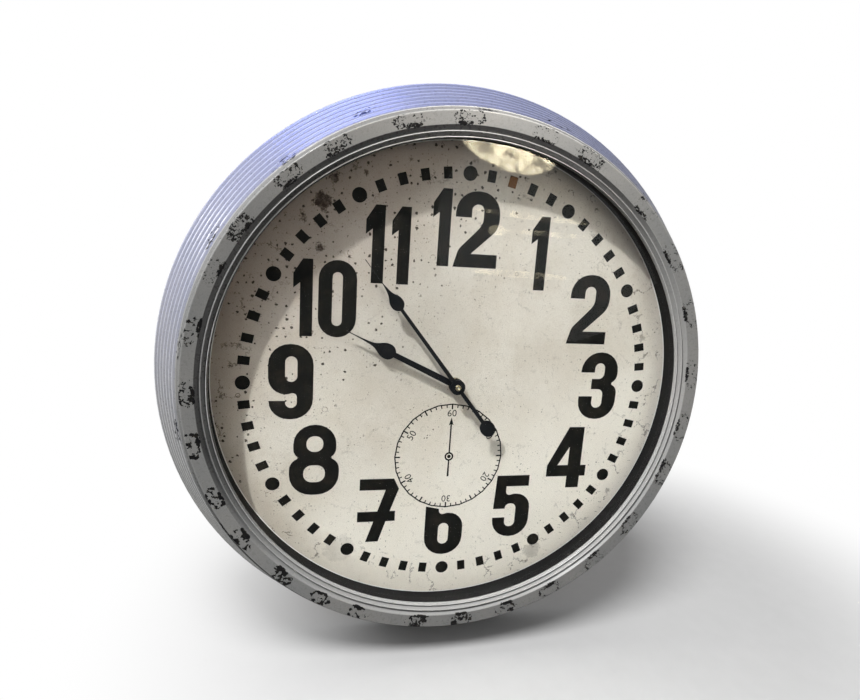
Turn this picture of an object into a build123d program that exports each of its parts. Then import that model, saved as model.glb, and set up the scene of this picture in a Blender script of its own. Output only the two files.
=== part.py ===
from build123d import *

import os
from math import cos, hypot, pi, radians, sin

# A large round wall clock: a flared, fluted plastic case with a glazed dial and a battery movement.
# Millimetres. +Z is up and the dial faces -Y. The origin is where a wall screw carries the clock:
# the upper end of the keyhole slot, in the plane of the wall.
# Heights are counted from the printed face of the dial, positive towards the glass.

# Case and bezel, from the dial outwards
REVEAL_RADIUS = 260.0  # black wall between glass and dial
REVEAL_SETBACK = 4.0  # behind the edge of the opening
BEZEL_WIDTH = 25.0  # edge of the opening to the front corner
FLARE_WIDTH = 39.0  # front corner to the flared rear edge
HOOK_INSET = 65.0  # rear edge in to the wall screw
WALL_TO_DIAL = 32.0  # wall to the printed face
FRONT_HEIGHT = 35.4
FLUTE_COUNT = 8  # concave flutes from the front corner to the wall
FLUTE_DEPTH = 1.5
CASE_WALL = 2.6  # under the deepest part of a flute
CORNER_ROUND = 0.9
BAND_WIDTH = 13.0  # plain sloping band of the bezel
BAND_FALL = 2.7
RIDGE_SETBACKS = (6.0, 1.0)  # moulded ridges, outwards from the opening
RIDGE_FALLS = (3.2, 5.3)
GROOVE_WIDTH = 1.3  # steep side of each moulded groove
GROOVE_RISE = 2.2
LIP_FALL = 7.3
SPIGOT_DEPTH = 1.4  # bezel's centring ring inside the case
SPIGOT_WIDTH = 7.6
SPIGOT_CLEARANCE = 0.4
CORE_INSET = 12.5  # hollow in the back of the bezel, from the front corner
CORE_WIDTH = 11.0
CORE_DEPTH = 4.0

# Glazing and dial
GLASS_THICKNESS = 3.0
GLASS_OVERLAP = 7.2  # glass edge behind the bezel's lip
GASKET_THICKNESS = 1.0
REVEAL_WALL = 2.0
REVEAL_FLANGE = 16.0
REVEAL_FOOT = 2.0
CARD_THICKNESS = 0.5
CARD_CLEARANCE = 0.4
BOARD_THICKNESS = 2.5

# Screws that hold the case together
SCREW_COUNT = 6
SCREW_RADIUS = 1.5
SCREW_HEAD_RADIUS = 3.2
SCREW_HEAD_HEIGHT = 2.0
SCREW_HEAD_CHAMFER = 0.5
SCREW_CLEARANCE = 0.3
BOSS_RADIUS = 4.0
BEZEL_SCREW_BITE = 4.2
DIAL_SCREW_BITE = 8.0
PANEL_SCREW_BITE = 8.0
PANEL_SCREW_INSET = 10.5  # from the inside of the flared wall
PANEL_BOSS_LENGTH = 8.0

# Back panel and hanger
PANEL_THICKNESS = 3.0
PANEL_RECESS = 6.5  # panel's rear face in from the wall
PANEL_CLEARANCE = 0.6
LEDGE_WIDTH = 16.0
WINDOW_SIZE = 110.0  # reaches the battery and the setting knob
WINDOW_ROUND = 12.0
HANGER_WIDTH = 84.0
HANGER_TOP_WIDTH = 46.0
HANGER_LENGTH = 36.0
HANGER_SHEET = 1.5
HANGER_GAP = 0.5  # hanger's face in from the wall
HANGER_RISE_RUN = 3.0  # sideways run of its sloping sides
KEYHOLE_ENTRY_RADIUS = 5.0
KEYHOLE_SLOT_RADIUS = 2.5
KEYHOLE_DROP = 12.0  # entry hole below the slot's upper end
RIVET_RADIUS = 2.0
RIVET_HEAD_RADIUS = 3.5
RIVET_HEAD_HEIGHT = 1.2
RIVET_DISTANCE = 20.0

# Hands, as they stand at six and a half minutes to ten
MINUTE_ANGLE = 321.4  # clockwise from twelve
HOUR_ANGLE = 295.6
HAND_SHEET = 1.0
HOUR_HAND_HEIGHT = 6.7
MINUTE_HAND_HEIGHT = 13.0
HOUR_LENGTH = 135.5
HOUR_BULGE_AT = 87.0
HOUR_BULGE_HALF = 8.5
HOUR_BAR_HALF = 3.6
HOUR_NECK_HALF = 2.95
HOUR_SHOULDER = 8.5  # the bar's end below the bulge
HOUR_TAPER = ((2.9, 0.30), (1.1, 0.52))  # half widths, at shares of the way from bulge to tip
MINUTE_LENGTH = 170.5
MINUTE_BULGE_AT = 115.6
MINUTE_BULGE_HALF = 7.1
MINUTE_BAR_HALF = 2.4
MINUTE_NECK_HALF = 1.8
MINUTE_SHOULDER = 8.9
MINUTE_TAPER = ((3.55, 0.17), (1.1, 0.34))
SHOULDER_ROUND = (0.85, 0.57)  # middle of the shoulder, in bulge halves and shoulder lengths
TIP_HALF = 0.4
BOSS_DISC_RADIUS = 8.4
COLLET_RADIUS = 4.0
COLLET_HEIGHT = 1.6
TAIL_LENGTH = 61.0  # dial axis to the middle of the counterpoise
TAIL_HALF = 2.2
COUNTERPOISE_LENGTH = 20.6
COUNTERPOISE_WIDTH = 17.0

# Movement case
MOVEMENT_WIDTH = 56.0
MOVEMENT_DEPTH = 16.0
MOVEMENT_WALL = 1.2
MOVEMENT_ROUND = 2.0
SHAFT_TO_TOP = 28.0
BAY_TOP = -11.6  # underside of the wall between gears and battery, from the dial axis
DIVIDER_WALL = 1.0
RUBBER_THICKNESS = 1.0
RUBBER_RADIUS = 14.0
BUSHING_RADIUS = 4.0
BUSHING_LENGTH = 4.4  # in front of the dial
BUSHING_FLANGE_RADIUS = 5.5
BUSHING_FLANGE = 0.6
BUSHING_CLEARANCE = 0.2
WASHER_RADIUS = 8.0
WASHER_THICKNESS = 0.6
NUT_ACROSS_FLATS = 11.0
NUT_THICKNESS = 2.6
PLATE_THICKNESS = 1.0
PLATE_SETBACK = 1.6  # train plate's edges from the movement's inner walls
POST_RADIUS = 1.7
TRAIN_SCREW_RADIUS = 0.7
TRAIN_SCREW_HEAD = 1.5
TRAIN_SCREW_BITE = 2.4
TRAIN_POSTS = ((-22.0, 21.0), (22.0, 21.0), (22.0, -7.0))

# Shafts
RUNNING_CLEARANCE = 0.05
SECONDS_SHAFT_RADIUS = 0.55
MINUTE_PIPE_RADIUS = 1.65
HOUR_PIPE_RADIUS = 2.45
PIPE_END_ABOVE_HAND = 1.4
SECONDS_END_ABOVE_PIPE = 0.4
HAND_NUT_RADIUS = 3.2
HAND_NUT_HEIGHT = 2.2
HAND_NUT_CHAMFER = 0.44
ARBOR_RADIUS = 0.6
PIVOT_RADIUS = 0.4
PIVOT_LENGTH = 1.0
PIVOT_BOSS_RADIUS = 1.2
MOTION_STUD_RADIUS = 0.8
SETTING_SHAFT_RADIUS = 1.5
KNOB_RADIUS = 5.5
KNOB_HEIGHT = 4.2
KNOB_GAP = 0.3
KNOB_SOCKET = 2.1  # how far the shaft reaches into the knob
KNOB_TEETH = 18

# Gear train: teeth, centre distances and the direction from one axis to the next
LAYER_GAP = 0.4
MOTION_WHEEL_THICKNESS = 1.2
TRAIN_WHEEL_THICKNESS = 0.8
PINION_OVERLAP = 0.1  # a pinion is this much longer than its wheel at each side
CANNON_TEETH = 10
MOTION_WHEEL_TEETH = 30
MOTION_PINION_TEETH = 8
HOUR_WHEEL_TEETH = 32
SETTING_TEETH = 12
CENTRE_TEETH = 64
THIRD_PINION_TEETH = 8
THIRD_TEETH = 60
SECONDS_PINION_TEETH = 8
SECONDS_TEETH = 40
FIFTH_PINION_TEETH = 8
FIFTH_TEETH = 48
ROTOR_TEETH = 8
MOTION_DISTANCE = 10.0
SETTING_DISTANCE = 10.5
THIRD_DISTANCE = 9.5
FIFTH_DISTANCE = 9.6
ROTOR_DISTANCE = 7.84
MOTION_DIRECTION = 0.0
SETTING_DIRECTION = 60.0
THIRD_DIRECTION = 180.0
FIFTH_DIRECTION = 100.0
ROTOR_DIRECTION = 60.0
ADDENDUM = 0.85  # in modules
DEDENDUM = 1.2
TOOTH_SHARE = 0.42  # of the pitch, so the teeth run with backlash
TIP_SHARE = 0.15

# Step motor, circuit and battery
MAGNET_RADIUS = 2.5
MAGNET_THICKNESS = 1.8
MAGNET_GAP = 0.6
STATOR_THICKNESS = 0.8
STATOR_WIDTH = 24.0
STATOR_LIMB = 3.6
STATOR_RISE = 7.6  # rotor axis up to the coil's core
COIL_RADIUS = 2.2
COIL_LENGTH = 14.0
BOARD_SIZE = (15.0, 12.0)
BOARD_SPOT = (-17.5, 17.0)
BOARD_SHEET = 0.8
CHIP_RADIUS = 2.5
CHIP_HEIGHT = 0.7
PEG_RADIUS = 0.8
PEG_INSET = 1.6  # middle of a peg in from the edge of the circuit board
BATTERY_RADIUS = 7.25
BATTERY_LENGTH = 49.5
BATTERY_NUB_RADIUS = 2.75
BATTERY_NUB = 1.0
BATTERY_GAP = 0.1
CONTACT_SHEET = 0.4
CONTACT_TAIL = 1.2  # straight end of the bent contact
CONTACT_WIDTH = 9.0

# Radii that follow from these
OPENING_RADIUS = REVEAL_RADIUS - REVEAL_SETBACK
FRONT_RADIUS = OPENING_RADIUS + BEZEL_WIDTH  # front corner of the bezel
CASE_RADIUS = FRONT_RADIUS + FLARE_WIDTH  # flared rear edge
HOOK_HEIGHT = CASE_RADIUS - HOOK_INSET  # dial axis up to the wall screw
SPIGOT_RADIUS = OPENING_RADIUS + SPIGOT_WIDTH
FLANGE_BORE = SPIGOT_RADIUS + SPIGOT_CLEARANCE
GLASS_RADIUS = OPENING_RADIUS + GLASS_OVERLAP
REVEAL_OUTER = REVEAL_RADIUS + REVEAL_FLANGE
MINUTE_PIPE_BORE = SECONDS_SHAFT_RADIUS + RUNNING_CLEARANCE
HOUR_PIPE_BORE = MINUTE_PIPE_RADIUS + RUNNING_CLEARANCE
BUSHING_BORE = HOUR_PIPE_RADIUS + RUNNING_CLEARANCE
SCREW_HOLE = SCREW_RADIUS + SCREW_CLEARANCE
BEZEL_SCREW_CIRCLE = FRONT_RADIUS - CORE_INSET + CORE_WIDTH / 2
DIAL_SCREW_CIRCLE = (REVEAL_RADIUS + REVEAL_WALL + REVEAL_OUTER) / 2

# Heights that follow from these
BOARD_FRONT = -CARD_THICKNESS
BOARD_REAR = BOARD_FRONT - BOARD_THICKNESS
MOVEMENT_FRONT = BOARD_REAR - RUBBER_THICKNESS
MOVEMENT_REAR = MOVEMENT_FRONT - MOVEMENT_DEPTH
FLOOR = MOVEMENT_FRONT - MOVEMENT_WALL
COVER_FRONT = MOVEMENT_REAR + MOVEMENT_WALL
HOUR_TOP = FLOOR - LAYER_GAP
CANNON_TOP = HOUR_TOP - MOTION_WHEEL_THICKNESS - LAYER_GAP
PLATE_TOP = CANNON_TOP - MOTION_WHEEL_THICKNESS - LAYER_GAP
CENTRE_TOP = PLATE_TOP - PLATE_THICKNESS - LAYER_GAP
THIRD_TOP = CENTRE_TOP - TRAIN_WHEEL_THICKNESS - LAYER_GAP
SECONDS_TOP = THIRD_TOP - TRAIN_WHEEL_THICKNESS - LAYER_GAP
FIFTH_TOP = SECONDS_TOP - TRAIN_WHEEL_THICKNESS - LAYER_GAP
MAGNET_TOP = FIFTH_TOP - TRAIN_WHEEL_THICKNESS - MAGNET_GAP
STATOR_TOP = MAGNET_TOP - (MAGNET_THICKNESS - STATOR_THICKNESS) / 2
PIVOT_END = COVER_FRONT + RUNNING_CLEARANCE
ARBOR_SHOULDER = COVER_FRONT + PIVOT_LENGTH + LAYER_GAP / 2
FLUTE_FALL = (FRONT_HEIGHT + WALL_TO_DIAL) / FLUTE_COUNT
BEZEL_REAR = FRONT_HEIGHT - FLUTE_FALL
GLASS_SEAT = BEZEL_REAR - SPIGOT_DEPTH
GLASS_FRONT = GLASS_SEAT - GASKET_THICKNESS
GLASS_REAR = GLASS_FRONT - GLASS_THICKNESS
FLANGE_REAR = BEZEL_REAR - CASE_WALL
REVEAL_FOOT_TOP = BOARD_FRONT + REVEAL_FOOT
PANEL_REAR = PANEL_RECESS - WALL_TO_DIAL
PANEL_FRONT = PANEL_REAR + PANEL_THICKNESS
LEDGE_FRONT = PANEL_FRONT + CASE_WALL
HANGER_REAR = HANGER_GAP - WALL_TO_DIAL
KNOB_REAR = MOVEMENT_REAR - KNOB_GAP - KNOB_HEIGHT
KNOB_SOCKET_TOP = MOVEMENT_REAR - KNOB_GAP - KNOB_SOCKET
MINUTE_PIPE_END = MINUTE_HAND_HEIGHT + HAND_SHEET + PIPE_END_ABOVE_HAND

# Planes and axes of the dial
DIAL_AXIS = Axis((0, 0, -HOOK_HEIGHT), (0, -1, 0))


def dial_plane(height, across=0.0, up=0.0, clock_angle=0.0):
    """Plane parallel to the dial: local X to three o'clock, local Y to twelve, normal to the viewer."""
    turn = radians(clock_angle)
    return Plane(
        origin=(across, -WALL_TO_DIAL - height, up - HOOK_HEIGHT),
        x_dir=(cos(turn), 0, -sin(turn)),
        z_dir=(0, -1, 0),
    )


def section_plane():
    """Half section through the dial axis: local X is radius and local Y is height."""
    return Plane(origin=(0, -WALL_TO_DIAL, -HOOK_HEIGHT), x_dir=(1, 0, 0), z_dir=(0, 0, -1))


def step(start, distance, direction):
    """Place reached from start by going a distance in a direction, in degrees."""
    return (
        start[0] + distance * cos(radians(direction)),
        start[1] + distance * sin(radians(direction)),
    )


def ridge(index):
    """Radius and height of a ridge between two flutes, counted from the front corner."""
    share = index / FLUTE_COUNT
    return (
        FRONT_RADIUS + share * (CASE_RADIUS - FRONT_RADIUS),
        FRONT_HEIGHT - index * FLUTE_FALL,
    )


FLARE = (CASE_RADIUS - FRONT_RADIUS) / (FRONT_HEIGHT + WALL_TO_DIAL)
FLARE_LENGTH = hypot(1, FLARE)


def flute_bottom(index):
    """Deepest point of the flute that starts at a ridge."""
    (radius_a, height_a), (radius_b, height_b) = ridge(index), ridge(index + 1)
    return (
        (radius_a + radius_b) / 2 - FLUTE_DEPTH / FLARE_LENGTH,
        (height_a + height_b) / 2 - FLUTE_DEPTH * FLARE / FLARE_LENGTH,
    )


def inner_wall(height):
    """Inner radius of the flared case at a height."""
    ridge_radius = FRONT_RADIUS + (FRONT_HEIGHT - height) * FLARE
    return ridge_radius - (CASE_WALL + FLUTE_DEPTH) * FLARE_LENGTH


PANEL_SCREW_CIRCLE = inner_wall(PANEL_FRONT) - PANEL_SCREW_INSET
STAGGER = 180 / SCREW_COUNT  # the bezel's and the panel's screws stand between those of the dial


def screw_circle(height, radius, bite, start=0.0):
    """Equal screws on a circle, put in from the back, with their heads behind the given height."""
    with BuildPart() as screws:
        with BuildSketch(dial_plane(height - SCREW_HEAD_HEIGHT)):
            with PolarLocations(radius, SCREW_COUNT, start_angle=start):
                Circle(SCREW_HEAD_RADIUS)
        extrude(amount=SCREW_HEAD_HEIGHT)
        chamfer(screws.faces().sort_by(Axis.Y)[-SCREW_COUNT:].edges(), SCREW_HEAD_CHAMFER)
        with BuildSketch(dial_plane(height)):
            with PolarLocations(radius, SCREW_COUNT, start_angle=start):
                Circle(SCREW_RADIUS)
        extrude(amount=bite)
    return screws.part


class SpurGear(BaseSketchObject):
    """Clock gear with radial roots and tapering tips, one tooth centred on its rotation."""

    def __init__(self, teeth, module, rotation=0.0, mode=Mode.ADD):
        pitch_radius = teeth * module / 2
        half_pitch_angle = TOOTH_SHARE * pi / teeth
        half_tip_angle = TIP_SHARE * pi / teeth
        flank = (
            (pitch_radius - DEDENDUM * module, half_pitch_angle),
            (pitch_radius, half_pitch_angle),
            (pitch_radius + ADDENDUM * module, half_tip_angle),
        )
        points = []
        for tooth in range(teeth):
            middle = 2 * pi * tooth / teeth
            points += [(radius, middle - half) for radius, half in flank]
            points += [(radius, middle + half) for radius, half in reversed(flank)]
        with BuildSketch() as outline:
            with BuildLine():
                Polyline(*[(r * cos(a), r * sin(a)) for r, a in points], close=True)
            make_face()
        super().__init__(obj=outline.sketch, rotation=rotation, align=None, mode=mode)


def meshing_rotation(teeth, rotation, direction, mate_teeth):
    """Rotation of the mate whose gap takes the tooth of a gear, with the mate in that direction."""
    lead = (rotation - direction) * teeth / mate_teeth
    return direction + 180 - lead + 180 / mate_teeth


def module_for(distance, teeth, mate_teeth):
    """Module that makes two gears mesh at a centre distance."""
    return 2 * distance / (teeth + mate_teeth)


# Axes of the movement, across and up from the dial axis
MOTION_SPOT = step((0, 0), MOTION_DISTANCE, MOTION_DIRECTION)
SETTING_SPOT = step(MOTION_SPOT, SETTING_DISTANCE, SETTING_DIRECTION)
THIRD_SPOT = step((0, 0), THIRD_DISTANCE, THIRD_DIRECTION)
FIFTH_SPOT = step((0, 0), FIFTH_DISTANCE, FIFTH_DIRECTION)
ROTOR_SPOT = step(FIFTH_SPOT, ROTOR_DISTANCE, ROTOR_DIRECTION)
COIL_SPOT = (ROTOR_SPOT[0], ROTOR_SPOT[1] + STATOR_RISE)

# Modules and tooth positions
CANNON_MODULE = module_for(MOTION_DISTANCE, CANNON_TEETH, MOTION_WHEEL_TEETH)
HOUR_MODULE = module_for(MOTION_DISTANCE, MOTION_PINION_TEETH, HOUR_WHEEL_TEETH)
CENTRE_MODULE = module_for(THIRD_DISTANCE, THIRD_PINION_TEETH, CENTRE_TEETH)
THIRD_MODULE = module_for(THIRD_DISTANCE, SECONDS_PINION_TEETH, THIRD_TEETH)
SECONDS_MODULE = module_for(FIFTH_DISTANCE, FIFTH_PINION_TEETH, SECONDS_TEETH)
FIFTH_MODULE = module_for(ROTOR_DISTANCE, ROTOR_TEETH, FIFTH_TEETH)
MOTION_ROTATION = meshing_rotation(CANNON_TEETH, 0, MOTION_DIRECTION, MOTION_WHEEL_TEETH)
HOUR_ROTATION = meshing_rotation(MOTION_PINION_TEETH, 0, MOTION_DIRECTION + 180, HOUR_WHEEL_TEETH)
SETTING_ROTATION = meshing_rotation(
    MOTION_WHEEL_TEETH, MOTION_ROTATION, SETTING_DIRECTION, SETTING_TEETH
)
CENTRE_ROTATION = meshing_rotation(THIRD_PINION_TEETH, 0, THIRD_DIRECTION + 180, CENTRE_TEETH)
THIRD_ROTATION = meshing_rotation(SECONDS_PINION_TEETH, 0, THIRD_DIRECTION, THIRD_TEETH)
FIFTH_PINION_ROTATION = meshing_rotation(SECONDS_TEETH, 0, FIFTH_DIRECTION, FIFTH_PINION_TEETH)
ROTOR_ROTATION = meshing_rotation(FIFTH_TEETH, 0, ROTOR_DIRECTION, ROTOR_TEETH)

os.makedirs("parts", exist_ok=True)

# ---------------------------------------------------------------- bezel
with BuildPart() as bezel:
    with BuildSketch(section_plane()) as bezel_section:
        with BuildLine():
            ThreePointArc(ridge(1), flute_bottom(0), ridge(0))
            moulding = [ridge(0), (FRONT_RADIUS - BAND_WIDTH, FRONT_HEIGHT - BAND_FALL)]
            for setback, fall in zip(RIDGE_SETBACKS, RIDGE_FALLS):
                crest = (OPENING_RADIUS + setback, FRONT_HEIGHT - fall)
                moulding.append((crest[0] + GROOVE_WIDTH, crest[1] - GROOVE_RISE))
                moulding.append(crest)
            Polyline(
                *moulding,
                (OPENING_RADIUS, FRONT_HEIGHT - LIP_FALL),
                (OPENING_RADIUS, GLASS_SEAT),
                (SPIGOT_RADIUS, GLASS_SEAT),
                (SPIGOT_RADIUS, BEZEL_REAR),
                (FRONT_RADIUS - CORE_INSET, BEZEL_REAR),
                (FRONT_RADIUS - CORE_INSET, BEZEL_REAR + CORE_DEPTH),
                (FRONT_RADIUS - CORE_INSET + CORE_WIDTH, BEZEL_REAR + CORE_DEPTH),
                (FRONT_RADIUS - CORE_INSET + CORE_WIDTH, BEZEL_REAR),
                ridge(1),
            )
        make_face()
        fillet(bezel_section.vertices().sort_by(Axis.Y)[-1], CORNER_ROUND)
    revolve(axis=DIAL_AXIS)
    with BuildSketch(dial_plane(BEZEL_REAR)):
        with PolarLocations(BEZEL_SCREW_CIRCLE, SCREW_COUNT, start_angle=STAGGER):
            Circle(BOSS_RADIUS)
    extrude(amount=CORE_DEPTH)
    with BuildSketch(dial_plane(BEZEL_REAR)):
        with PolarLocations(BEZEL_SCREW_CIRCLE, SCREW_COUNT, start_angle=STAGGER):
            Circle(SCREW_RADIUS)
    extrude(amount=BEZEL_SCREW_BITE, mode=Mode.SUBTRACT)
bezel.part.label = "bezel"
export_step(bezel.part, "parts/bezel.step")

# ---------------------------------------------------------------- case band
with BuildPart() as case_band:
    with BuildSketch(section_plane()):
        with BuildLine():
            for index in range(1, FLUTE_COUNT):
                ThreePointArc(ridge(index), flute_bottom(index), ridge(index + 1))
            Polyline(
                ridge(FLUTE_COUNT),
                (inner_wall(-WALL_TO_DIAL), -WALL_TO_DIAL),
                (inner_wall(PANEL_FRONT), PANEL_FRONT),
                (inner_wall(PANEL_FRONT) - LEDGE_WIDTH, PANEL_FRONT),
                (inner_wall(PANEL_FRONT) - LEDGE_WIDTH, LEDGE_FRONT),
                (inner_wall(LEDGE_FRONT), LEDGE_FRONT),
                (inner_wall(FLANGE_REAR), FLANGE_REAR),
                (FLANGE_BORE, FLANGE_REAR),
                (FLANGE_BORE, BEZEL_REAR),
                ridge(1),
            )
        make_face()
    revolve(axis=DIAL_AXIS)
    with BuildSketch(dial_plane(REVEAL_FOOT_TOP)):
        with PolarLocations(DIAL_SCREW_CIRCLE, SCREW_COUNT):
            Circle(BOSS_RADIUS)
    extrude(amount=FLANGE_REAR - REVEAL_FOOT_TOP)
    with BuildSketch(dial_plane(LEDGE_FRONT)):
        with PolarLocations(PANEL_SCREW_CIRCLE, SCREW_COUNT, start_angle=STAGGER):
            Circle(BOSS_RADIUS)
    extrude(amount=PANEL_BOSS_LENGTH)
    with BuildSketch(dial_plane(FLANGE_REAR)):
        with PolarLocations(BEZEL_SCREW_CIRCLE, SCREW_COUNT, start_angle=STAGGER):
            Circle(SCREW_HOLE)
    extrude(amount=CASE_WALL, mode=Mode.SUBTRACT)
    with BuildSketch(dial_plane(REVEAL_FOOT_TOP)):
        with PolarLocations(DIAL_SCREW_CIRCLE, SCREW_COUNT):
            Circle(SCREW_RADIUS)
    extrude(amount=DIAL_SCREW_BITE, mode=Mode.SUBTRACT)
    with BuildSketch(dial_plane(PANEL_FRONT)):
        with PolarLocations(PANEL_SCREW_CIRCLE, SCREW_COUNT, start_angle=STAGGER):
            Circle(SCREW_RADIUS)
    extrude(amount=PANEL_SCREW_BITE, mode=Mode.SUBTRACT)
case_band.part.label = "case_band"
export_step(case_band.part, "parts/case_band.step")

# ---------------------------------------------------------------- glass, gasket and reveal ring
with BuildPart() as glass:
    with BuildSketch(dial_plane(GLASS_REAR)):
        Circle(GLASS_RADIUS)
    extrude(amount=GLASS_THICKNESS)
glass.part.label = "glass"
export_step(glass.part, "parts/glass.step")

with BuildPart() as glass_gasket:
    with BuildSketch(dial_plane(GLASS_FRONT)):
        Circle(GLASS_RADIUS)
        Circle(OPENING_RADIUS, mode=Mode.SUBTRACT)
    extrude(amount=GASKET_THICKNESS)
glass_gasket.part.label = "glass_gasket"
export_step(glass_gasket.part, "parts/glass_gasket.step")

with BuildPart() as reveal_ring:
    with BuildSketch(section_plane()):
        with BuildLine():
            Polyline(
                (REVEAL_RADIUS, BOARD_FRONT),
                (REVEAL_OUTER, BOARD_FRONT),
                (REVEAL_OUTER, REVEAL_FOOT_TOP),
                (REVEAL_RADIUS + REVEAL_WALL, REVEAL_FOOT_TOP),
                (REVEAL_RADIUS + REVEAL_WALL, GLASS_REAR),
                (REVEAL_RADIUS, GLASS_REAR),
                close=True,
            )
        make_face()
    revolve(axis=DIAL_AXIS)
    with BuildSketch(dial_plane(BOARD_FRONT)):
        with PolarLocations(DIAL_SCREW_CIRCLE, SCREW_COUNT):
            Circle(SCREW_HOLE)
    extrude(amount=REVEAL_FOOT, mode=Mode.SUBTRACT)
reveal_ring.part.label = "reveal_ring"
export_step(reveal_ring.part, "parts/reveal_ring.step")

# ---------------------------------------------------------------- dial
with BuildPart() as dial_face:
    with BuildSketch(dial_plane(BOARD_FRONT)):
        Circle(REVEAL_RADIUS - CARD_CLEARANCE)
        Circle(BUSHING_RADIUS + BUSHING_CLEARANCE, mode=Mode.SUBTRACT)
    extrude(amount=CARD_THICKNESS)
dial_face.part.label = "dial_face"
export_step(dial_face.part, "parts/dial_face.step")

with BuildPart() as dial_board:
    with BuildSketch(dial_plane(BOARD_REAR)):
        Circle(REVEAL_OUTER)
        Circle(BUSHING_RADIUS + BUSHING_CLEARANCE, mode=Mode.SUBTRACT)
        with PolarLocations(DIAL_SCREW_CIRCLE, SCREW_COUNT):
            Circle(SCREW_HOLE, mode=Mode.SUBTRACT)
    extrude(amount=BOARD_THICKNESS)
dial_board.part.label = "dial_board"
export_step(dial_board.part, "parts/dial_board.step")

# ---------------------------------------------------------------- back panel and hanger
HANGER_HOLES = (HANGER_WIDTH + HANGER_TOP_WIDTH + 2 * HANGER_RISE_RUN) / 2
HANGER_MIDDLE = HOOK_HEIGHT - KEYHOLE_DROP / 2

with BuildPart() as back_panel:
    with BuildSketch(dial_plane(PANEL_REAR)):
        Circle(inner_wall(PANEL_FRONT) - PANEL_CLEARANCE)
        RectangleRounded(WINDOW_SIZE, WINDOW_SIZE, WINDOW_ROUND, mode=Mode.SUBTRACT)
        with PolarLocations(PANEL_SCREW_CIRCLE, SCREW_COUNT, start_angle=STAGGER):
            Circle(SCREW_HOLE, mode=Mode.SUBTRACT)
        with Locations((0, HANGER_MIDDLE)):
            with GridLocations(HANGER_HOLES, RIVET_DISTANCE, 2, 2):
                Circle(RIVET_RADIUS, mode=Mode.SUBTRACT)
    extrude(amount=PANEL_THICKNESS)
back_panel.part.label = "back_panel"
export_step(back_panel.part, "parts/back_panel.step")

with BuildPart() as hanger_plate:
    with BuildSketch(Plane.XY.offset(HANGER_MIDDLE - HOOK_HEIGHT - HANGER_LENGTH / 2)):
        with BuildLine():
            half = Polyline(
                (0, -HANGER_GAP - HANGER_SHEET),
                (HANGER_TOP_WIDTH / 2 - HANGER_SHEET, -HANGER_GAP - HANGER_SHEET),
                (HANGER_TOP_WIDTH / 2 + HANGER_RISE_RUN - HANGER_SHEET, -PANEL_RECESS),
                (HANGER_WIDTH / 2, -PANEL_RECESS),
                (HANGER_WIDTH / 2, -PANEL_RECESS + HANGER_SHEET),
                (HANGER_TOP_WIDTH / 2 + HANGER_RISE_RUN, -PANEL_RECESS + HANGER_SHEET),
                (HANGER_TOP_WIDTH / 2, -HANGER_GAP),
                (0, -HANGER_GAP),
            )
            mirror(half, about=Plane.YZ)
        make_face()
    extrude(amount=HANGER_LENGTH)
    with BuildSketch(dial_plane(HANGER_REAR, up=HOOK_HEIGHT)):
        Circle(KEYHOLE_SLOT_RADIUS)
        with Locations((0, -KEYHOLE_DROP / 2)):
            Rectangle(2 * KEYHOLE_SLOT_RADIUS, KEYHOLE_DROP)
        with Locations((0, -KEYHOLE_DROP)):
            Circle(KEYHOLE_ENTRY_RADIUS)
    extrude(amount=HANGER_SHEET, mode=Mode.SUBTRACT)
    with BuildSketch(dial_plane(PANEL_REAR - HANGER_SHEET)):
        with Locations((0, HANGER_MIDDLE)):
            with GridLocations(HANGER_HOLES, RIVET_DISTANCE, 2, 2):
                Circle(RIVET_RADIUS)
    extrude(amount=HANGER_SHEET, mode=Mode.SUBTRACT)
hanger_plate.part.label = "hanger_plate"
export_step(hanger_plate.part, "parts/hanger_plate.step")

with BuildPart() as hanger_rivets:
    for height, radius, length in (
        (PANEL_REAR - HANGER_SHEET - RIVET_HEAD_HEIGHT, RIVET_HEAD_RADIUS, RIVET_HEAD_HEIGHT),
        (PANEL_REAR - HANGER_SHEET, RIVET_RADIUS, HANGER_SHEET + PANEL_THICKNESS),
        (PANEL_FRONT, RIVET_HEAD_RADIUS, RIVET_HEAD_HEIGHT),
    ):
        with BuildSketch(dial_plane(height)):
            with Locations((0, HANGER_MIDDLE)):
                with GridLocations(HANGER_HOLES, RIVET_DISTANCE, 2, 2):
                    Circle(radius)
        extrude(amount=length)
hanger_rivets.part.label = "hanger_rivets"
export_step(hanger_rivets.part, "parts/hanger_rivets.step")

# ---------------------------------------------------------------- screws of the case
bezel_screws = screw_circle(FLANGE_REAR, BEZEL_SCREW_CIRCLE, CASE_WALL + BEZEL_SCREW_BITE, STAGGER)
bezel_screws.label = "bezel_screws"
export_step(bezel_screws, "parts/bezel_screws.step")

dial_screws = screw_circle(
    BOARD_REAR,
    DIAL_SCREW_CIRCLE,
    BOARD_THICKNESS + REVEAL_FOOT + DIAL_SCREW_BITE,
)
dial_screws.label = "dial_screws"
export_step(dial_screws, "parts/dial_screws.step")

panel_screws = screw_circle(
    PANEL_REAR,
    PANEL_SCREW_CIRCLE,
    PANEL_THICKNESS + PANEL_SCREW_BITE,
    STAGGER,
)
panel_screws.label = "panel_screws"
export_step(panel_screws, "parts/panel_screws.step")

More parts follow.
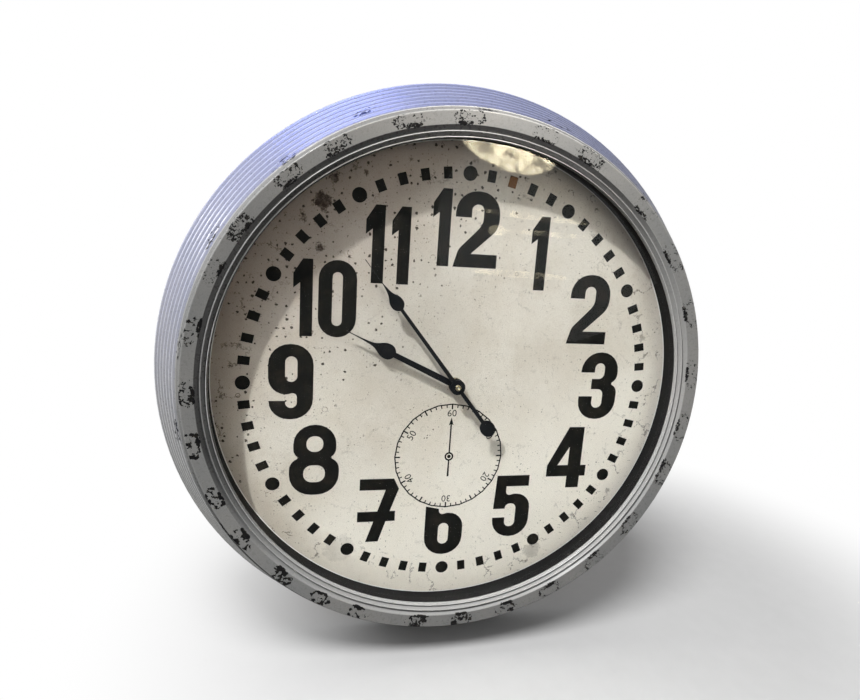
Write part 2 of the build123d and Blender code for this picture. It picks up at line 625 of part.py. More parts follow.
# ---------------------------------------------------------------- hands
class HandOutline(BaseSketchObject):
    """Leaf-shaped hand along local Y: a straight bar, a round-shouldered bulge and a long thin tip."""

    def __init__(self, length, bulge, bar_half, neck_half, shoulder, taper, mode=Mode.ADD):
        bulge_half, bulge_at = bulge
        widest = (bulge_half, bulge_at)
        bar_end = (neck_half, bulge_at - shoulder)
        rounding = (SHOULDER_ROUND[0] * bulge_half, bulge_at - SHOULDER_ROUND[1] * shoulder)
        narrowing = [(half, bulge_at + share * (length - bulge_at)) for half, share in taper]
        with BuildSketch() as outline:
            with BuildLine():
                Polyline((0, 0), (bar_half, 0), bar_end)
                ThreePointArc(bar_end, rounding, widest)
                Spline(widest, *narrowing, (TIP_HALF, length), tangents=((0, 1), (0, 1)))
                Polyline((TIP_HALF, length), (0, length), (0, 0))
            make_face()
            mirror(about=Plane.YZ)
        super().__init__(obj=outline.sketch, rotation=0, align=None, mode=mode)


with BuildPart() as hour_hand:
    with BuildSketch(dial_plane(HOUR_HAND_HEIGHT, clock_angle=HOUR_ANGLE)):
        HandOutline(
            HOUR_LENGTH,
            (HOUR_BULGE_HALF, HOUR_BULGE_AT),
            HOUR_BAR_HALF,
            HOUR_NECK_HALF,
            HOUR_SHOULDER,
            HOUR_TAPER,
        )
        Circle(BOSS_DISC_RADIUS)
    extrude(amount=HAND_SHEET)
    with BuildSketch(dial_plane(HOUR_HAND_HEIGHT - COLLET_HEIGHT)):
        Circle(COLLET_RADIUS)
    extrude(amount=COLLET_HEIGHT)
    with BuildSketch(dial_plane(HOUR_HAND_HEIGHT - COLLET_HEIGHT)):
        Circle(HOUR_PIPE_RADIUS)
    extrude(amount=COLLET_HEIGHT + HAND_SHEET, mode=Mode.SUBTRACT)
hour_hand.part.label = "hour_hand"
export_step(hour_hand.part, "parts/hour_hand.step")

with BuildPart() as minute_hand:
    with BuildSketch(dial_plane(MINUTE_HAND_HEIGHT, clock_angle=MINUTE_ANGLE)):
        HandOutline(
            MINUTE_LENGTH,
            (MINUTE_BULGE_HALF, MINUTE_BULGE_AT),
            MINUTE_BAR_HALF,
            MINUTE_NECK_HALF,
            MINUTE_SHOULDER,
            MINUTE_TAPER,
        )
        Rectangle(2 * TAIL_HALF, TAIL_LENGTH, align=(Align.CENTER, Align.MAX))
        Circle(BOSS_DISC_RADIUS)
        with Locations((0, -TAIL_LENGTH)):
            Ellipse(COUNTERPOISE_WIDTH / 2, COUNTERPOISE_LENGTH / 2)
        Circle(MINUTE_PIPE_RADIUS, mode=Mode.SUBTRACT)
    extrude(amount=HAND_SHEET)
minute_hand.part.label = "minute_hand"
export_step(minute_hand.part, "parts/minute_hand.step")

with BuildPart() as hand_nut:
    with BuildSketch(dial_plane(MINUTE_HAND_HEIGHT + HAND_SHEET)):
        Circle(HAND_NUT_RADIUS)
        Circle(MINUTE_PIPE_RADIUS, mode=Mode.SUBTRACT)
    extrude(amount=HAND_NUT_HEIGHT)
    chamfer(hand_nut.edges().group_by(Axis.Y)[0], HAND_NUT_CHAMFER)
hand_nut.part.label = "hand_nut"
export_step(hand_nut.part, "parts/hand_nut.step")

# ---------------------------------------------------------------- movement case and its fixing
BAY_BOTTOM = SHAFT_TO_TOP - MOVEMENT_WIDTH + MOVEMENT_WALL
CHAMBER_BOTTOM = BAY_TOP + DIVIDER_WALL
CHAMBER_TOP = SHAFT_TO_TOP - MOVEMENT_WALL
CHAMBER_WIDTH = MOVEMENT_WIDTH - 2 * MOVEMENT_WALL
CHAMBER_MIDDLE = (CHAMBER_TOP + CHAMBER_BOTTOM) / 2
COVER_LENGTH = SHAFT_TO_TOP - BAY_TOP
COVER_MIDDLE = (SHAFT_TO_TOP + BAY_TOP) / 2

with BuildPart() as movement_case:
    with BuildSketch(dial_plane(MOVEMENT_REAR)):
        with Locations((0, SHAFT_TO_TOP - MOVEMENT_WIDTH / 2)):
            RectangleRounded(MOVEMENT_WIDTH, MOVEMENT_WIDTH, MOVEMENT_ROUND)
    extrude(amount=MOVEMENT_DEPTH)
    with BuildSketch(dial_plane(MOVEMENT_REAR)):
        with Locations((0, CHAMBER_MIDDLE)):
            Rectangle(CHAMBER_WIDTH, CHAMBER_TOP - CHAMBER_BOTTOM)
        with Locations((0, (BAY_TOP + BAY_BOTTOM) / 2)):
            Rectangle(CHAMBER_WIDTH, BAY_TOP - BAY_BOTTOM)
    extrude(amount=FLOOR - MOVEMENT_REAR, mode=Mode.SUBTRACT)
    with BuildSketch(dial_plane(MOVEMENT_REAR)):
        with Locations((0, COVER_MIDDLE)):
            Rectangle(MOVEMENT_WIDTH, COVER_LENGTH)
    extrude(amount=MOVEMENT_WALL, mode=Mode.SUBTRACT)
    with BuildSketch(dial_plane(PLATE_TOP)):
        with Locations(*TRAIN_POSTS):
            Circle(POST_RADIUS)
    extrude(amount=FLOOR - PLATE_TOP)
    with BuildSketch(dial_plane(PLATE_TOP)):
        with Locations(*TRAIN_POSTS):
            Circle(TRAIN_SCREW_RADIUS)
    extrude(amount=TRAIN_SCREW_BITE, mode=Mode.SUBTRACT)
    with BuildSketch(dial_plane(PLATE_TOP, *MOTION_SPOT)):
        Circle(MOTION_STUD_RADIUS)
    extrude(amount=FLOOR - PLATE_TOP)
    with BuildSketch(dial_plane(FLOOR)):
        Circle(BUSHING_RADIUS)
    extrude(amount=MOVEMENT_WALL, mode=Mode.SUBTRACT)
    with BuildSketch(dial_plane(FLOOR)):
        Circle(BUSHING_FLANGE_RADIUS)
    extrude(amount=BUSHING_FLANGE, mode=Mode.SUBTRACT)
movement_case.part.label = "movement_case"
export_step(movement_case.part, "parts/movement_case.step")

with BuildPart() as threaded_bushing:
    with BuildSketch(dial_plane(FLOOR)):
        Circle(BUSHING_FLANGE_RADIUS)
    extrude(amount=BUSHING_FLANGE)
    with BuildSketch(dial_plane(FLOOR)):
        Circle(BUSHING_RADIUS)
    extrude(amount=BUSHING_LENGTH - FLOOR)
    with BuildSketch(dial_plane(FLOOR)):
        Circle(BUSHING_BORE)
    extrude(amount=BUSHING_LENGTH - FLOOR, mode=Mode.SUBTRACT)
threaded_bushing.part.label = "threaded_bushing"
export_step(threaded_bushing.part, "parts/threaded_bushing.step")

with BuildPart() as rubber_washer:
    with BuildSketch(dial_plane(MOVEMENT_FRONT)):
        Circle(RUBBER_RADIUS)
        Circle(BUSHING_RADIUS + BUSHING_CLEARANCE, mode=Mode.SUBTRACT)
    extrude(amount=RUBBER_THICKNESS)
rubber_washer.part.label = "rubber_washer"
export_step(rubber_washer.part, "parts/rubber_washer.step")

with BuildPart() as brass_washer:
    with BuildSketch(dial_plane(0)):
        Circle(WASHER_RADIUS)
        Circle(BUSHING_RADIUS + BUSHING_CLEARANCE, mode=Mode.SUBTRACT)
    extrude(amount=WASHER_THICKNESS)
brass_washer.part.label = "brass_washer"
export_step(brass_washer.part, "parts/brass_washer.step")

with BuildPart() as fixing_nut:
    with BuildSketch(dial_plane(WASHER_THICKNESS)):
        RegularPolygon(NUT_ACROSS_FLATS / 2, 6, major_radius=False)
        Circle(BUSHING_RADIUS, mode=Mode.SUBTRACT)
    extrude(amount=NUT_THICKNESS)
fixing_nut.part.label = "fixing_nut"
export_step(fixing_nut.part, "parts/fixing_nut.step")

# ---------------------------------------------------------------- plates and cover of the movement
with BuildPart() as train_plate:
    with BuildSketch(dial_plane(PLATE_TOP - PLATE_THICKNESS)):
        with Locations((0, CHAMBER_MIDDLE)):
            Rectangle(
                CHAMBER_WIDTH - 2 * PLATE_SETBACK,
                CHAMBER_TOP - CHAMBER_BOTTOM - 2 * PLATE_SETBACK,
            )
        Circle(MINUTE_PIPE_RADIUS + RUNNING_CLEARANCE, mode=Mode.SUBTRACT)
        with Locations(SETTING_SPOT):
            Circle(SETTING_SHAFT_RADIUS + RUNNING_CLEARANCE, mode=Mode.SUBTRACT)
        with Locations(THIRD_SPOT, FIFTH_SPOT, ROTOR_SPOT):
            Circle(PIVOT_RADIUS + RUNNING_CLEARANCE, mode=Mode.SUBTRACT)
        with Locations(*TRAIN_POSTS):
            Circle(TRAIN_SCREW_RADIUS, mode=Mode.SUBTRACT)
    extrude(amount=PLATE_THICKNESS)
    with BuildSketch(dial_plane(STATOR_TOP)):
        with Locations(COIL_SPOT):
            with GridLocations(STATOR_WIDTH - STATOR_LIMB, 1, 2, 1):
                Circle(POST_RADIUS)
    extrude(amount=PLATE_TOP - PLATE_THICKNESS - STATOR_TOP)
train_plate.part.label = "train_plate"
export_step(train_plate.part, "parts/train_plate.step")

with BuildPart() as train_screws:
    with BuildSketch(dial_plane(PLATE_TOP - PLATE_THICKNESS)):
        with Locations(*TRAIN_POSTS):
            Circle(TRAIN_SCREW_RADIUS)
    extrude(amount=PLATE_THICKNESS + TRAIN_SCREW_BITE)
    with BuildSketch(dial_plane(PLATE_TOP - 2 * PLATE_THICKNESS)):
        with Locations(*TRAIN_POSTS):
            Circle(TRAIN_SCREW_HEAD)
    extrude(amount=PLATE_THICKNESS)
train_screws.part.label = "train_screws"
export_step(train_screws.part, "parts/train_screws.step")

with BuildPart() as movement_cover:
    with BuildSketch(dial_plane(MOVEMENT_REAR)):
        with Locations((0, COVER_MIDDLE)):
            RectangleRounded(MOVEMENT_WIDTH, COVER_LENGTH, MOVEMENT_ROUND)
    extrude(amount=MOVEMENT_WALL)
    with BuildSketch(dial_plane(COVER_FRONT)):
        with Locations((0, 0), THIRD_SPOT, FIFTH_SPOT, ROTOR_SPOT):
            Circle(PIVOT_BOSS_RADIUS)
    extrude(amount=PIVOT_LENGTH)
    with BuildSketch(dial_plane(COVER_FRONT)):
        with Locations(BOARD_SPOT):
            with GridLocations(BOARD_SIZE[0] - 2 * PEG_INSET, BOARD_SIZE[1] - 2 * PEG_INSET, 2, 2):
                Circle(PEG_RADIUS)
    extrude(amount=PIVOT_LENGTH)
    with BuildSketch(dial_plane(COVER_FRONT)):
        with Locations((0, 0), THIRD_SPOT, FIFTH_SPOT, ROTOR_SPOT):
            Circle(PIVOT_RADIUS + RUNNING_CLEARANCE)
    extrude(amount=PIVOT_LENGTH, mode=Mode.SUBTRACT)
    with BuildSketch(dial_plane(MOVEMENT_REAR)):
        with Locations(SETTING_SPOT):
            Circle(SETTING_SHAFT_RADIUS + RUNNING_CLEARANCE)
    extrude(amount=MOVEMENT_WALL, mode=Mode.SUBTRACT)
movement_cover.part.label = "movement_cover"
export_step(movement_cover.part, "parts/movement_cover.step")

# ---------------------------------------------------------------- motion works
with BuildPart() as minute_pipe:
    with BuildSketch(dial_plane(CENTRE_TOP - TRAIN_WHEEL_THICKNESS)):
        Circle(MINUTE_PIPE_RADIUS)
    extrude(amount=MINUTE_PIPE_END - CENTRE_TOP + TRAIN_WHEEL_THICKNESS)
    with BuildSketch(dial_plane(CANNON_TOP - MOTION_WHEEL_THICKNESS)):
        SpurGear(CANNON_TEETH, CANNON_MODULE)
    extrude(amount=MOTION_WHEEL_THICKNESS)
    with BuildSketch(dial_plane(CENTRE_TOP - TRAIN_WHEEL_THICKNESS)):
        Circle(MINUTE_PIPE_BORE)
    extrude(amount=MINUTE_PIPE_END - CENTRE_TOP + TRAIN_WHEEL_THICKNESS, mode=Mode.SUBTRACT)
minute_pipe.part.label = "minute_pipe"
export_step(minute_pipe.part, "parts/minute_pipe.step")

with BuildPart() as hour_wheel:
    with BuildSketch(dial_plane(HOUR_TOP - MOTION_WHEEL_THICKNESS)):
        SpurGear(HOUR_WHEEL_TEETH, HOUR_MODULE, HOUR_ROTATION)
    extrude(amount=MOTION_WHEEL_THICKNESS)
    with BuildSketch(dial_plane(HOUR_TOP)):
        Circle(HOUR_PIPE_RADIUS)
    extrude(amount=HOUR_HAND_HEIGHT + HAND_SHEET - HOUR_TOP)
    with BuildSketch(dial_plane(HOUR_TOP - MOTION_WHEEL_THICKNESS)):
        Circle(HOUR_PIPE_BORE)
    extrude(
        amount=HOUR_HAND_HEIGHT + HAND_SHEET - HOUR_TOP + MOTION_WHEEL_THICKNESS,
        mode=Mode.SUBTRACT,
    )
hour_wheel.part.label = "hour_wheel"
export_step(hour_wheel.part, "parts/hour_wheel.step")

with BuildPart() as motion_wheel:
    with BuildSketch(dial_plane(CANNON_TOP - MOTION_WHEEL_THICKNESS, *MOTION_SPOT)):
        SpurGear(MOTION_WHEEL_TEETH, CANNON_MODULE, MOTION_ROTATION)
    extrude(amount=MOTION_WHEEL_THICKNESS)
    with BuildSketch(dial_plane(CANNON_TOP, *MOTION_SPOT)):
        SpurGear(MOTION_PINION_TEETH, HOUR_MODULE)
    extrude(amount=HOUR_TOP + PINION_OVERLAP - CANNON_TOP)
    with BuildSketch(dial_plane(CANNON_TOP - MOTION_WHEEL_THICKNESS, *MOTION_SPOT)):
        Circle(MOTION_STUD_RADIUS + RUNNING_CLEARANCE)
    extrude(amount=FLOOR - CANNON_TOP + MOTION_WHEEL_THICKNESS, mode=Mode.SUBTRACT)
motion_wheel.part.label = "motion_wheel"
export_step(motion_wheel.part, "parts/motion_wheel.step")

with BuildPart() as setting_shaft:
    with BuildSketch(dial_plane(CANNON_TOP - MOTION_WHEEL_THICKNESS, *SETTING_SPOT)):
        SpurGear(SETTING_TEETH, CANNON_MODULE, SETTING_ROTATION)
    extrude(amount=MOTION_WHEEL_THICKNESS)
    with BuildSketch(dial_plane(KNOB_SOCKET_TOP, *SETTING_SPOT)):
        Circle(SETTING_SHAFT_RADIUS)
    extrude(amount=CANNON_TOP - KNOB_SOCKET_TOP)
setting_shaft.part.label = "setting_shaft"
export_step(setting_shaft.part, "parts/setting_shaft.step")

with BuildPart() as setting_knob:
    with BuildSketch(dial_plane(KNOB_REAR, *SETTING_SPOT)):
        SpurGear(KNOB_TEETH, 2 * KNOB_RADIUS / (KNOB_TEETH + 2 * ADDENDUM))
    extrude(amount=KNOB_HEIGHT)
    with BuildSketch(dial_plane(KNOB_SOCKET_TOP, *SETTING_SPOT)):
        Circle(SETTING_SHAFT_RADIUS)
    extrude(amount=KNOB_HEIGHT - KNOB_SOCKET, mode=Mode.SUBTRACT)
setting_knob.part.label = "setting_knob"
export_step(setting_knob.part, "parts/setting_knob.step")

# ---------------------------------------------------------------- going train
with BuildPart() as centre_wheel:
    with BuildSketch(dial_plane(CENTRE_TOP - TRAIN_WHEEL_THICKNESS)):
        SpurGear(CENTRE_TEETH, CENTRE_MODULE, CENTRE_ROTATION)
        Circle(MINUTE_PIPE_RADIUS + RUNNING_CLEARANCE, mode=Mode.SUBTRACT)
    extrude(amount=TRAIN_WHEEL_THICKNESS)
centre_wheel.part.label = "centre_wheel"
export_step(centre_wheel.part, "parts/centre_wheel.step")


def train_wheel(spot, top, wheel, pinion, pinion_top, front_end, front_radius=PIVOT_RADIUS):
    """Wheel, pinion and arbor in one moulding, with a pivot at each end.

    wheel and pinion are (teeth, module, rotation); the wheel lies behind its pinion.
    """
    with BuildPart() as moulding:
        with BuildSketch(dial_plane(top - TRAIN_WHEEL_THICKNESS, *spot)):
            SpurGear(*wheel)
        extrude(amount=TRAIN_WHEEL_THICKNESS)
        with BuildSketch(dial_plane(top, *spot)):
            SpurGear(*pinion)
        extrude(amount=pinion_top + PINION_OVERLAP - top)
        with BuildSketch(dial_plane(ARBOR_SHOULDER, *spot)):
            Circle(ARBOR_RADIUS)
        extrude(amount=top - ARBOR_SHOULDER)
        with BuildSketch(dial_plane(PIVOT_END, *spot)):
            Circle(PIVOT_RADIUS)
        extrude(amount=top - PIVOT_END)
        with BuildSketch(dial_plane(top, *spot)):
            Circle(front_radius)
        extrude(amount=front_end - top)
    return moulding.part


third_wheel = train_wheel(
    THIRD_SPOT,
    THIRD_TOP,
    (THIRD_TEETH, THIRD_MODULE, THIRD_ROTATION),
    (THIRD_PINION_TEETH, CENTRE_MODULE, 0),
    CENTRE_TOP,
    PLATE_TOP,
)
third_wheel.label = "third_wheel"
export_step(third_wheel, "parts/third_wheel.step")

seconds_wheel = train_wheel(
    (0, 0),
    SECONDS_TOP,
    (SECONDS_TEETH, SECONDS_MODULE, 0),
    (SECONDS_PINION_TEETH, THIRD_MODULE, 0),
    THIRD_TOP,
    MINUTE_PIPE_END + SECONDS_END_ABOVE_PIPE,
    SECONDS_SHAFT_RADIUS,
)
seconds_wheel.label = "seconds_wheel"
export_step(seconds_wheel, "parts/seconds_wheel.step")

fifth_wheel = train_wheel(
    FIFTH_SPOT,
    FIFTH_TOP,
    (FIFTH_TEETH, FIFTH_MODULE, 0),
    (FIFTH_PINION_TEETH, SECONDS_MODULE, FIFTH_PINION_ROTATION),
    SECONDS_TOP,
    PLATE_TOP,
)
fifth_wheel.label = "fifth_wheel"
export_step(fifth_wheel, "parts/fifth_wheel.step")

# ---------------------------------------------------------------- step motor
MAGNET_REAR = MAGNET_TOP - MAGNET_THICKNESS

with BuildPart() as rotor_pinion:
    with BuildSketch(dial_plane(MAGNET_TOP, *ROTOR_SPOT)):
        Circle(ARBOR_RADIUS)
    extrude(amount=FIFTH_TOP - TRAIN_WHEEL_THICKNESS - MAGNET_TOP)
    with BuildSketch(dial_plane(FIFTH_TOP - TRAIN_WHEEL_THICKNESS - PINION_OVERLAP, *ROTOR_SPOT)):
        SpurGear(ROTOR_TEETH, FIFTH_MODULE, ROTOR_ROTATION)
    extrude(amount=TRAIN_WHEEL_THICKNESS + 2 * PINION_OVERLAP)
    with BuildSketch(dial_plane(PIVOT_END, *ROTOR_SPOT)):
        Circle(PIVOT_RADIUS)
    extrude(amount=PLATE_TOP - PIVOT_END)
rotor_pinion.part.label = "rotor_pinion"
export_step(rotor_pinion.part, "parts/rotor_pinion.step")

with BuildPart() as rotor_magnet:
    with BuildSketch(dial_plane(MAGNET_REAR, *ROTOR_SPOT)):
        Circle(MAGNET_RADIUS)
        Circle(PIVOT_RADIUS, mode=Mode.SUBTRACT)
    extrude(amount=MAGNET_THICKNESS)
rotor_magnet.part.label = "rotor_magnet"
export_step(rotor_magnet.part, "parts/rotor_magnet.step")

with BuildPart() as stator:
    with BuildSketch(dial_plane(STATOR_TOP - STATOR_THICKNESS, *ROTOR_SPOT)):
        Rectangle(STATOR_WIDTH, 2 * (MAGNET_RADIUS + MAGNET_GAP) + STATOR_LIMB)
        with GridLocations(STATOR_WIDTH - STATOR_LIMB, 1, 2, 1):
            Rectangle(STATOR_LIMB, STATOR_RISE + POST_RADIUS, align=(Align.CENTER, Align.MIN))
        with Locations((0, STATOR_RISE)):
            Rectangle(STATOR_WIDTH, COIL_RADIUS)
        Circle(MAGNET_RADIUS + MAGNET_GAP, mode=Mode.SUBTRACT)
    extrude(amount=STATOR_THICKNESS)
stator.part.label = "stator"
export_step(stator.part, "parts/stator.step")

COIL_HEIGHT = STATOR_TOP - STATOR_THICKNESS / 2
COIL_PLANE = Plane(
    origin=(COIL_SPOT[0] - COIL_LENGTH / 2, -WALL_TO_DIAL - COIL_HEIGHT, COIL_SPOT[1] - HOOK_HEIGHT),
    x_dir=(0, 1, 0),
    z_dir=(1, 0, 0),
)
with BuildPart() as drive_coil:
    with BuildSketch(COIL_PLANE):
        Circle(COIL_RADIUS)
        Rectangle(STATOR_THICKNESS, COIL_RADIUS, mode=Mode.SUBTRACT)
    extrude(amount=COIL_LENGTH)
drive_coil.part.label = "drive_coil"
export_step(drive_coil.part, "parts/drive_coil.step")

# ---------------------------------------------------------------- circuit board and battery
with BuildPart() as circuit_board:
    with BuildSketch(dial_plane(COVER_FRONT + PIVOT_LENGTH)):
        with Locations(BOARD_SPOT):
            Rectangle(*BOARD_SIZE)
    extrude(amount=BOARD_SHEET)
    with BuildSketch(dial_plane(COVER_FRONT + PIVOT_LENGTH + BOARD_SHEET)):
        with Locations(BOARD_SPOT):
            Circle(CHIP_RADIUS)
    extrude(amount=CHIP_HEIGHT)
circuit_board.part.label = "circuit_board"
export_step(circuit_board.part, "parts/circuit_board.step")

BAY_MIDDLE = (BAY_TOP + BAY_BOTTOM) / 2
BATTERY_HEIGHT = FLOOR - BATTERY_GAP - BATTERY_RADIUS
BATTERY_START = -CHAMBER_WIDTH / 2 + CONTACT_SHEET
BATTERY_END = BATTERY_START + BATTERY_NUB + BATTERY_LENGTH


def bay_plane(across):
    """Plane across the battery: local X points into the bay and local Y up."""
    return Plane(
        origin=(across, -WALL_TO_DIAL - BATTERY_HEIGHT, BAY_MIDDLE - HOOK_HEIGHT),
        x_dir=(0, 1, 0),
        z_dir=(1, 0, 0),
    )


with BuildPart() as battery_cell:
    with BuildSketch(bay_plane(BATTERY_START)):
        Circle(BATTERY_NUB_RADIUS)
    extrude(amount=BATTERY_NUB)
    with BuildSketch(bay_plane(BATTERY_START + BATTERY_NUB)):
        Circle(BATTERY_RADIUS)
    extrude(amount=BATTERY_LENGTH)
battery_cell.part.label = "battery_cell"
export_step(battery_cell.part, "parts/battery_cell.step")

with BuildPart() as positive_contact:
    with BuildSketch(bay_plane(-CHAMBER_WIDTH / 2)):
        Rectangle(2 * BATTERY_RADIUS, CONTACT_WIDTH)
    extrude(amount=CONTACT_SHEET)
positive_contact.part.label = "positive_contact"
export_step(positive_contact.part, "parts/positive_contact.step")

with BuildPart() as negative_contact:
    with BuildSketch(Plane.XY.offset(BAY_MIDDLE - HOOK_HEIGHT - CONTACT_WIDTH / 2)):
        with BuildLine():
            wall = CHAMBER_WIDTH / 2
            rear = -WALL_TO_DIAL - BATTERY_HEIGHT + BATTERY_RADIUS
            front = -WALL_TO_DIAL - BATTERY_HEIGHT - BATTERY_RADIUS
            middle = (rear + front) / 2
            Polyline(
                (wall, rear),
                (wall, front),
                (wall - CONTACT_SHEET, front),
                (BATTERY_END, middle),
                (BATTERY_END + CONTACT_SHEET, middle + CONTACT_SHEET),
                (wall - CONTACT_SHEET, front + CONTACT_TAIL),
                (wall - CONTACT_SHEET, rear),
                close=True,
            )
        make_face()
    extrude(amount=CONTACT_WIDTH)
negative_contact.part.label = "negative_contact"
export_step(negative_contact.part, "parts/negative_contact.step")
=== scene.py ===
# %% [markdown]
# # Dressing a large wall clock
# The clock's solids were made in CAD and come in as a fixed frame: case, bezel, glass, dial, hands and the
# movement. Their shapes are right, so most of them stay and only get a finish. What CAD leaves out is added
# here: the print on the dial, the heads of the screws and rivets, and the light to see it all by.
# Lengths are in metres. +Z is up, and the dial looks towards -Y.

# %% Load the clock
import math

import bpy
from mathutils import Matrix, Vector


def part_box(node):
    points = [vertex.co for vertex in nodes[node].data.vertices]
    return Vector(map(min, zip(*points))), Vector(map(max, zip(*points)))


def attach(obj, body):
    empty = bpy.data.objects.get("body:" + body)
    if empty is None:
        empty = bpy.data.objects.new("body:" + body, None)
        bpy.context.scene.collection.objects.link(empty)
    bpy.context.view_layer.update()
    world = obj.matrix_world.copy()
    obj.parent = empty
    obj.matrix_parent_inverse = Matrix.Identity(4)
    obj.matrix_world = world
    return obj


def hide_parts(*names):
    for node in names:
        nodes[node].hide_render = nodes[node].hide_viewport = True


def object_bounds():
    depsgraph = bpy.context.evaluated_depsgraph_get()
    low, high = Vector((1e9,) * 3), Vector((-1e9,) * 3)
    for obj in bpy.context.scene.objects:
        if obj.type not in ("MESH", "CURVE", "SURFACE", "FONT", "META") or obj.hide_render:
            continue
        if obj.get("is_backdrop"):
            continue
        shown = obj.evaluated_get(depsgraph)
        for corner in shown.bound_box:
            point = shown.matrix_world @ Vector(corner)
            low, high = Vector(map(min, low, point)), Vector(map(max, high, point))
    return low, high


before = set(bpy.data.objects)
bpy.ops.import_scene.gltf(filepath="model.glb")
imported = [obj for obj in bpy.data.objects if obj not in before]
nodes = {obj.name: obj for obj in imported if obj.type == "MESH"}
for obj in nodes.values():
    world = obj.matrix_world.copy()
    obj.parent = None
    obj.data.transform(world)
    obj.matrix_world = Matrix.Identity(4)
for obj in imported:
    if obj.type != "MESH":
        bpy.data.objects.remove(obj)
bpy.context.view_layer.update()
MM = 0.001

# %% [markdown]
# ## The dial's own coordinates
# A dial is drawn around its axis. The printed face lies in a plane at DIAL_FACE, and everything on it is
# measured in shares of DOT_CIRCLE, the circle on which the twelve hour dots stand. Working in shares of one
# length keeps the drawing right if the clock is ever made in another size.

# %% Dial coordinates
dial_low, dial_high = (Vector(corner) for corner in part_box("dial_face"))
DIAL_FACE = dial_low.y
AXIS = Vector((0.0, DIAL_FACE, (dial_low.z + dial_high.z) / 2))
DIAL_RADIUS = (dial_high.x - dial_low.x) / 2
DOT_CIRCLE = 0.227
INK_THICKNESS = 0.08 * MM
print("dial axis", [round(v, 4) for v in AXIS], "radius", round(DIAL_RADIUS, 4))


def on_dial(across, up, above=0.0):
    """A point of the printed face, from shares of the dot circle, and metres above the card."""
    return Vector((AXIS.x + across * DOT_CIRCLE, DIAL_FACE - above, AXIS.z + up * DOT_CIRCLE))


# %% [markdown]
# ## The camera
# The clock is seen from close by with a wide lens, from the left of its axis and from above it. That is why the
# left and top of the flared case show, and why the black wall behind the glass shows on the right. The camera is
# placed in shares of the dot circle too: across, up, and out from the dial.

# %% Place the camera
CAMERA_SPOT = (-0.6723, 0.6791, 2.4986)
CAMERA_LOOK = (0.20573, -0.19528, -0.95893)
CAMERA_UP = (-0.02122, 0.97877, -0.20387)
LENS_MM = 22.58


def from_dial(vector):
    """A direction given as across, up and out of the dial, in the clock's own axes."""
    across, up, out = vector
    return Vector((across, -out, up))


camera_data = bpy.data.cameras.new("view_camera")
camera_data.sensor_width = 36.0
camera_data.lens = LENS_MM
camera_data.clip_start = 0.01
camera = bpy.data.objects.new("view_camera", camera_data)
bpy.context.scene.collection.objects.link(camera)
look = from_dial(CAMERA_LOOK).normalized()
side = look.cross(from_dial(CAMERA_UP)).normalized()
top = side.cross(look)
turn = Matrix((side, top, -look)).transposed().to_4x4()
spot = AXIS + from_dial(CAMERA_SPOT) * DOT_CIRCLE
camera.matrix_world = Matrix.Translation(spot) @ turn
bpy.context.scene.camera = camera
bpy.context.scene.view_settings.view_transform = "Standard"
print("camera at", [round(v, 3) for v in spot])

# %% [markdown]
# ## Building a finish out of nodes
# Every finish below is a network of nodes. It could be drawn by hand, one link at a time. Written down, it reads
# best as arithmetic: a Signal stands for the output of a node, and adding, multiplying or comparing signals lays
# the nodes for that. new_finish opens a material's network, add puts one node into the network that is open, and
# wire joins a signal to the main shader. What is the same all over is set on the shader itself.

# %% Opening a network, and adding a node
FULL_TURN = 2 * math.pi
tree = shader = None


def open_network(owner):
    """Nodes go into this material's or world's network from now on."""
    global tree, shader
    owner.use_nodes = True
    tree = owner.node_tree
    shader = tree.nodes.get("Principled BSDF")


def new_finish(name, roughness=0.5, metallic=0.0, specular=0.5):
    """A new material, with its network open. Values that are the same all over are set here."""
    material = bpy.data.materials.new(name)
    open_network(material)
    shader.inputs["Roughness"].default_value = roughness
    shader.inputs["Metallic"].default_value = metallic
    shader.inputs["Specular IOR Level"].default_value = specular
    return material


class Outputs:
    """The outputs of a new node, taken by name or number as signals."""

    def __init__(self, node):
        self.node = node

    def __getitem__(self, name):
        return Signal(self.node.outputs[name])


def add(kind, inputs=None, **settings):
    """Adds one node. An input given as a signal or socket is wired, and any other value is set."""
    made = tree.nodes.new("ShaderNode" + kind)
    for name, value in settings.items():
        setattr(made, name, value)
    for name, value in (inputs or {}).items():
        value = getattr(value, "socket", value)
        if isinstance(value, bpy.types.NodeSocket):
            tree.links.new(value, made.inputs[name])
        else:
            made.inputs[name].default_value = value
    return Outputs(made)


def wire(signal, name, node=None):
    """Joins a signal to an input of the main shader, or of another node."""
    tree.links.new(signal.socket, (node or shader).inputs[name])


# %% Signals


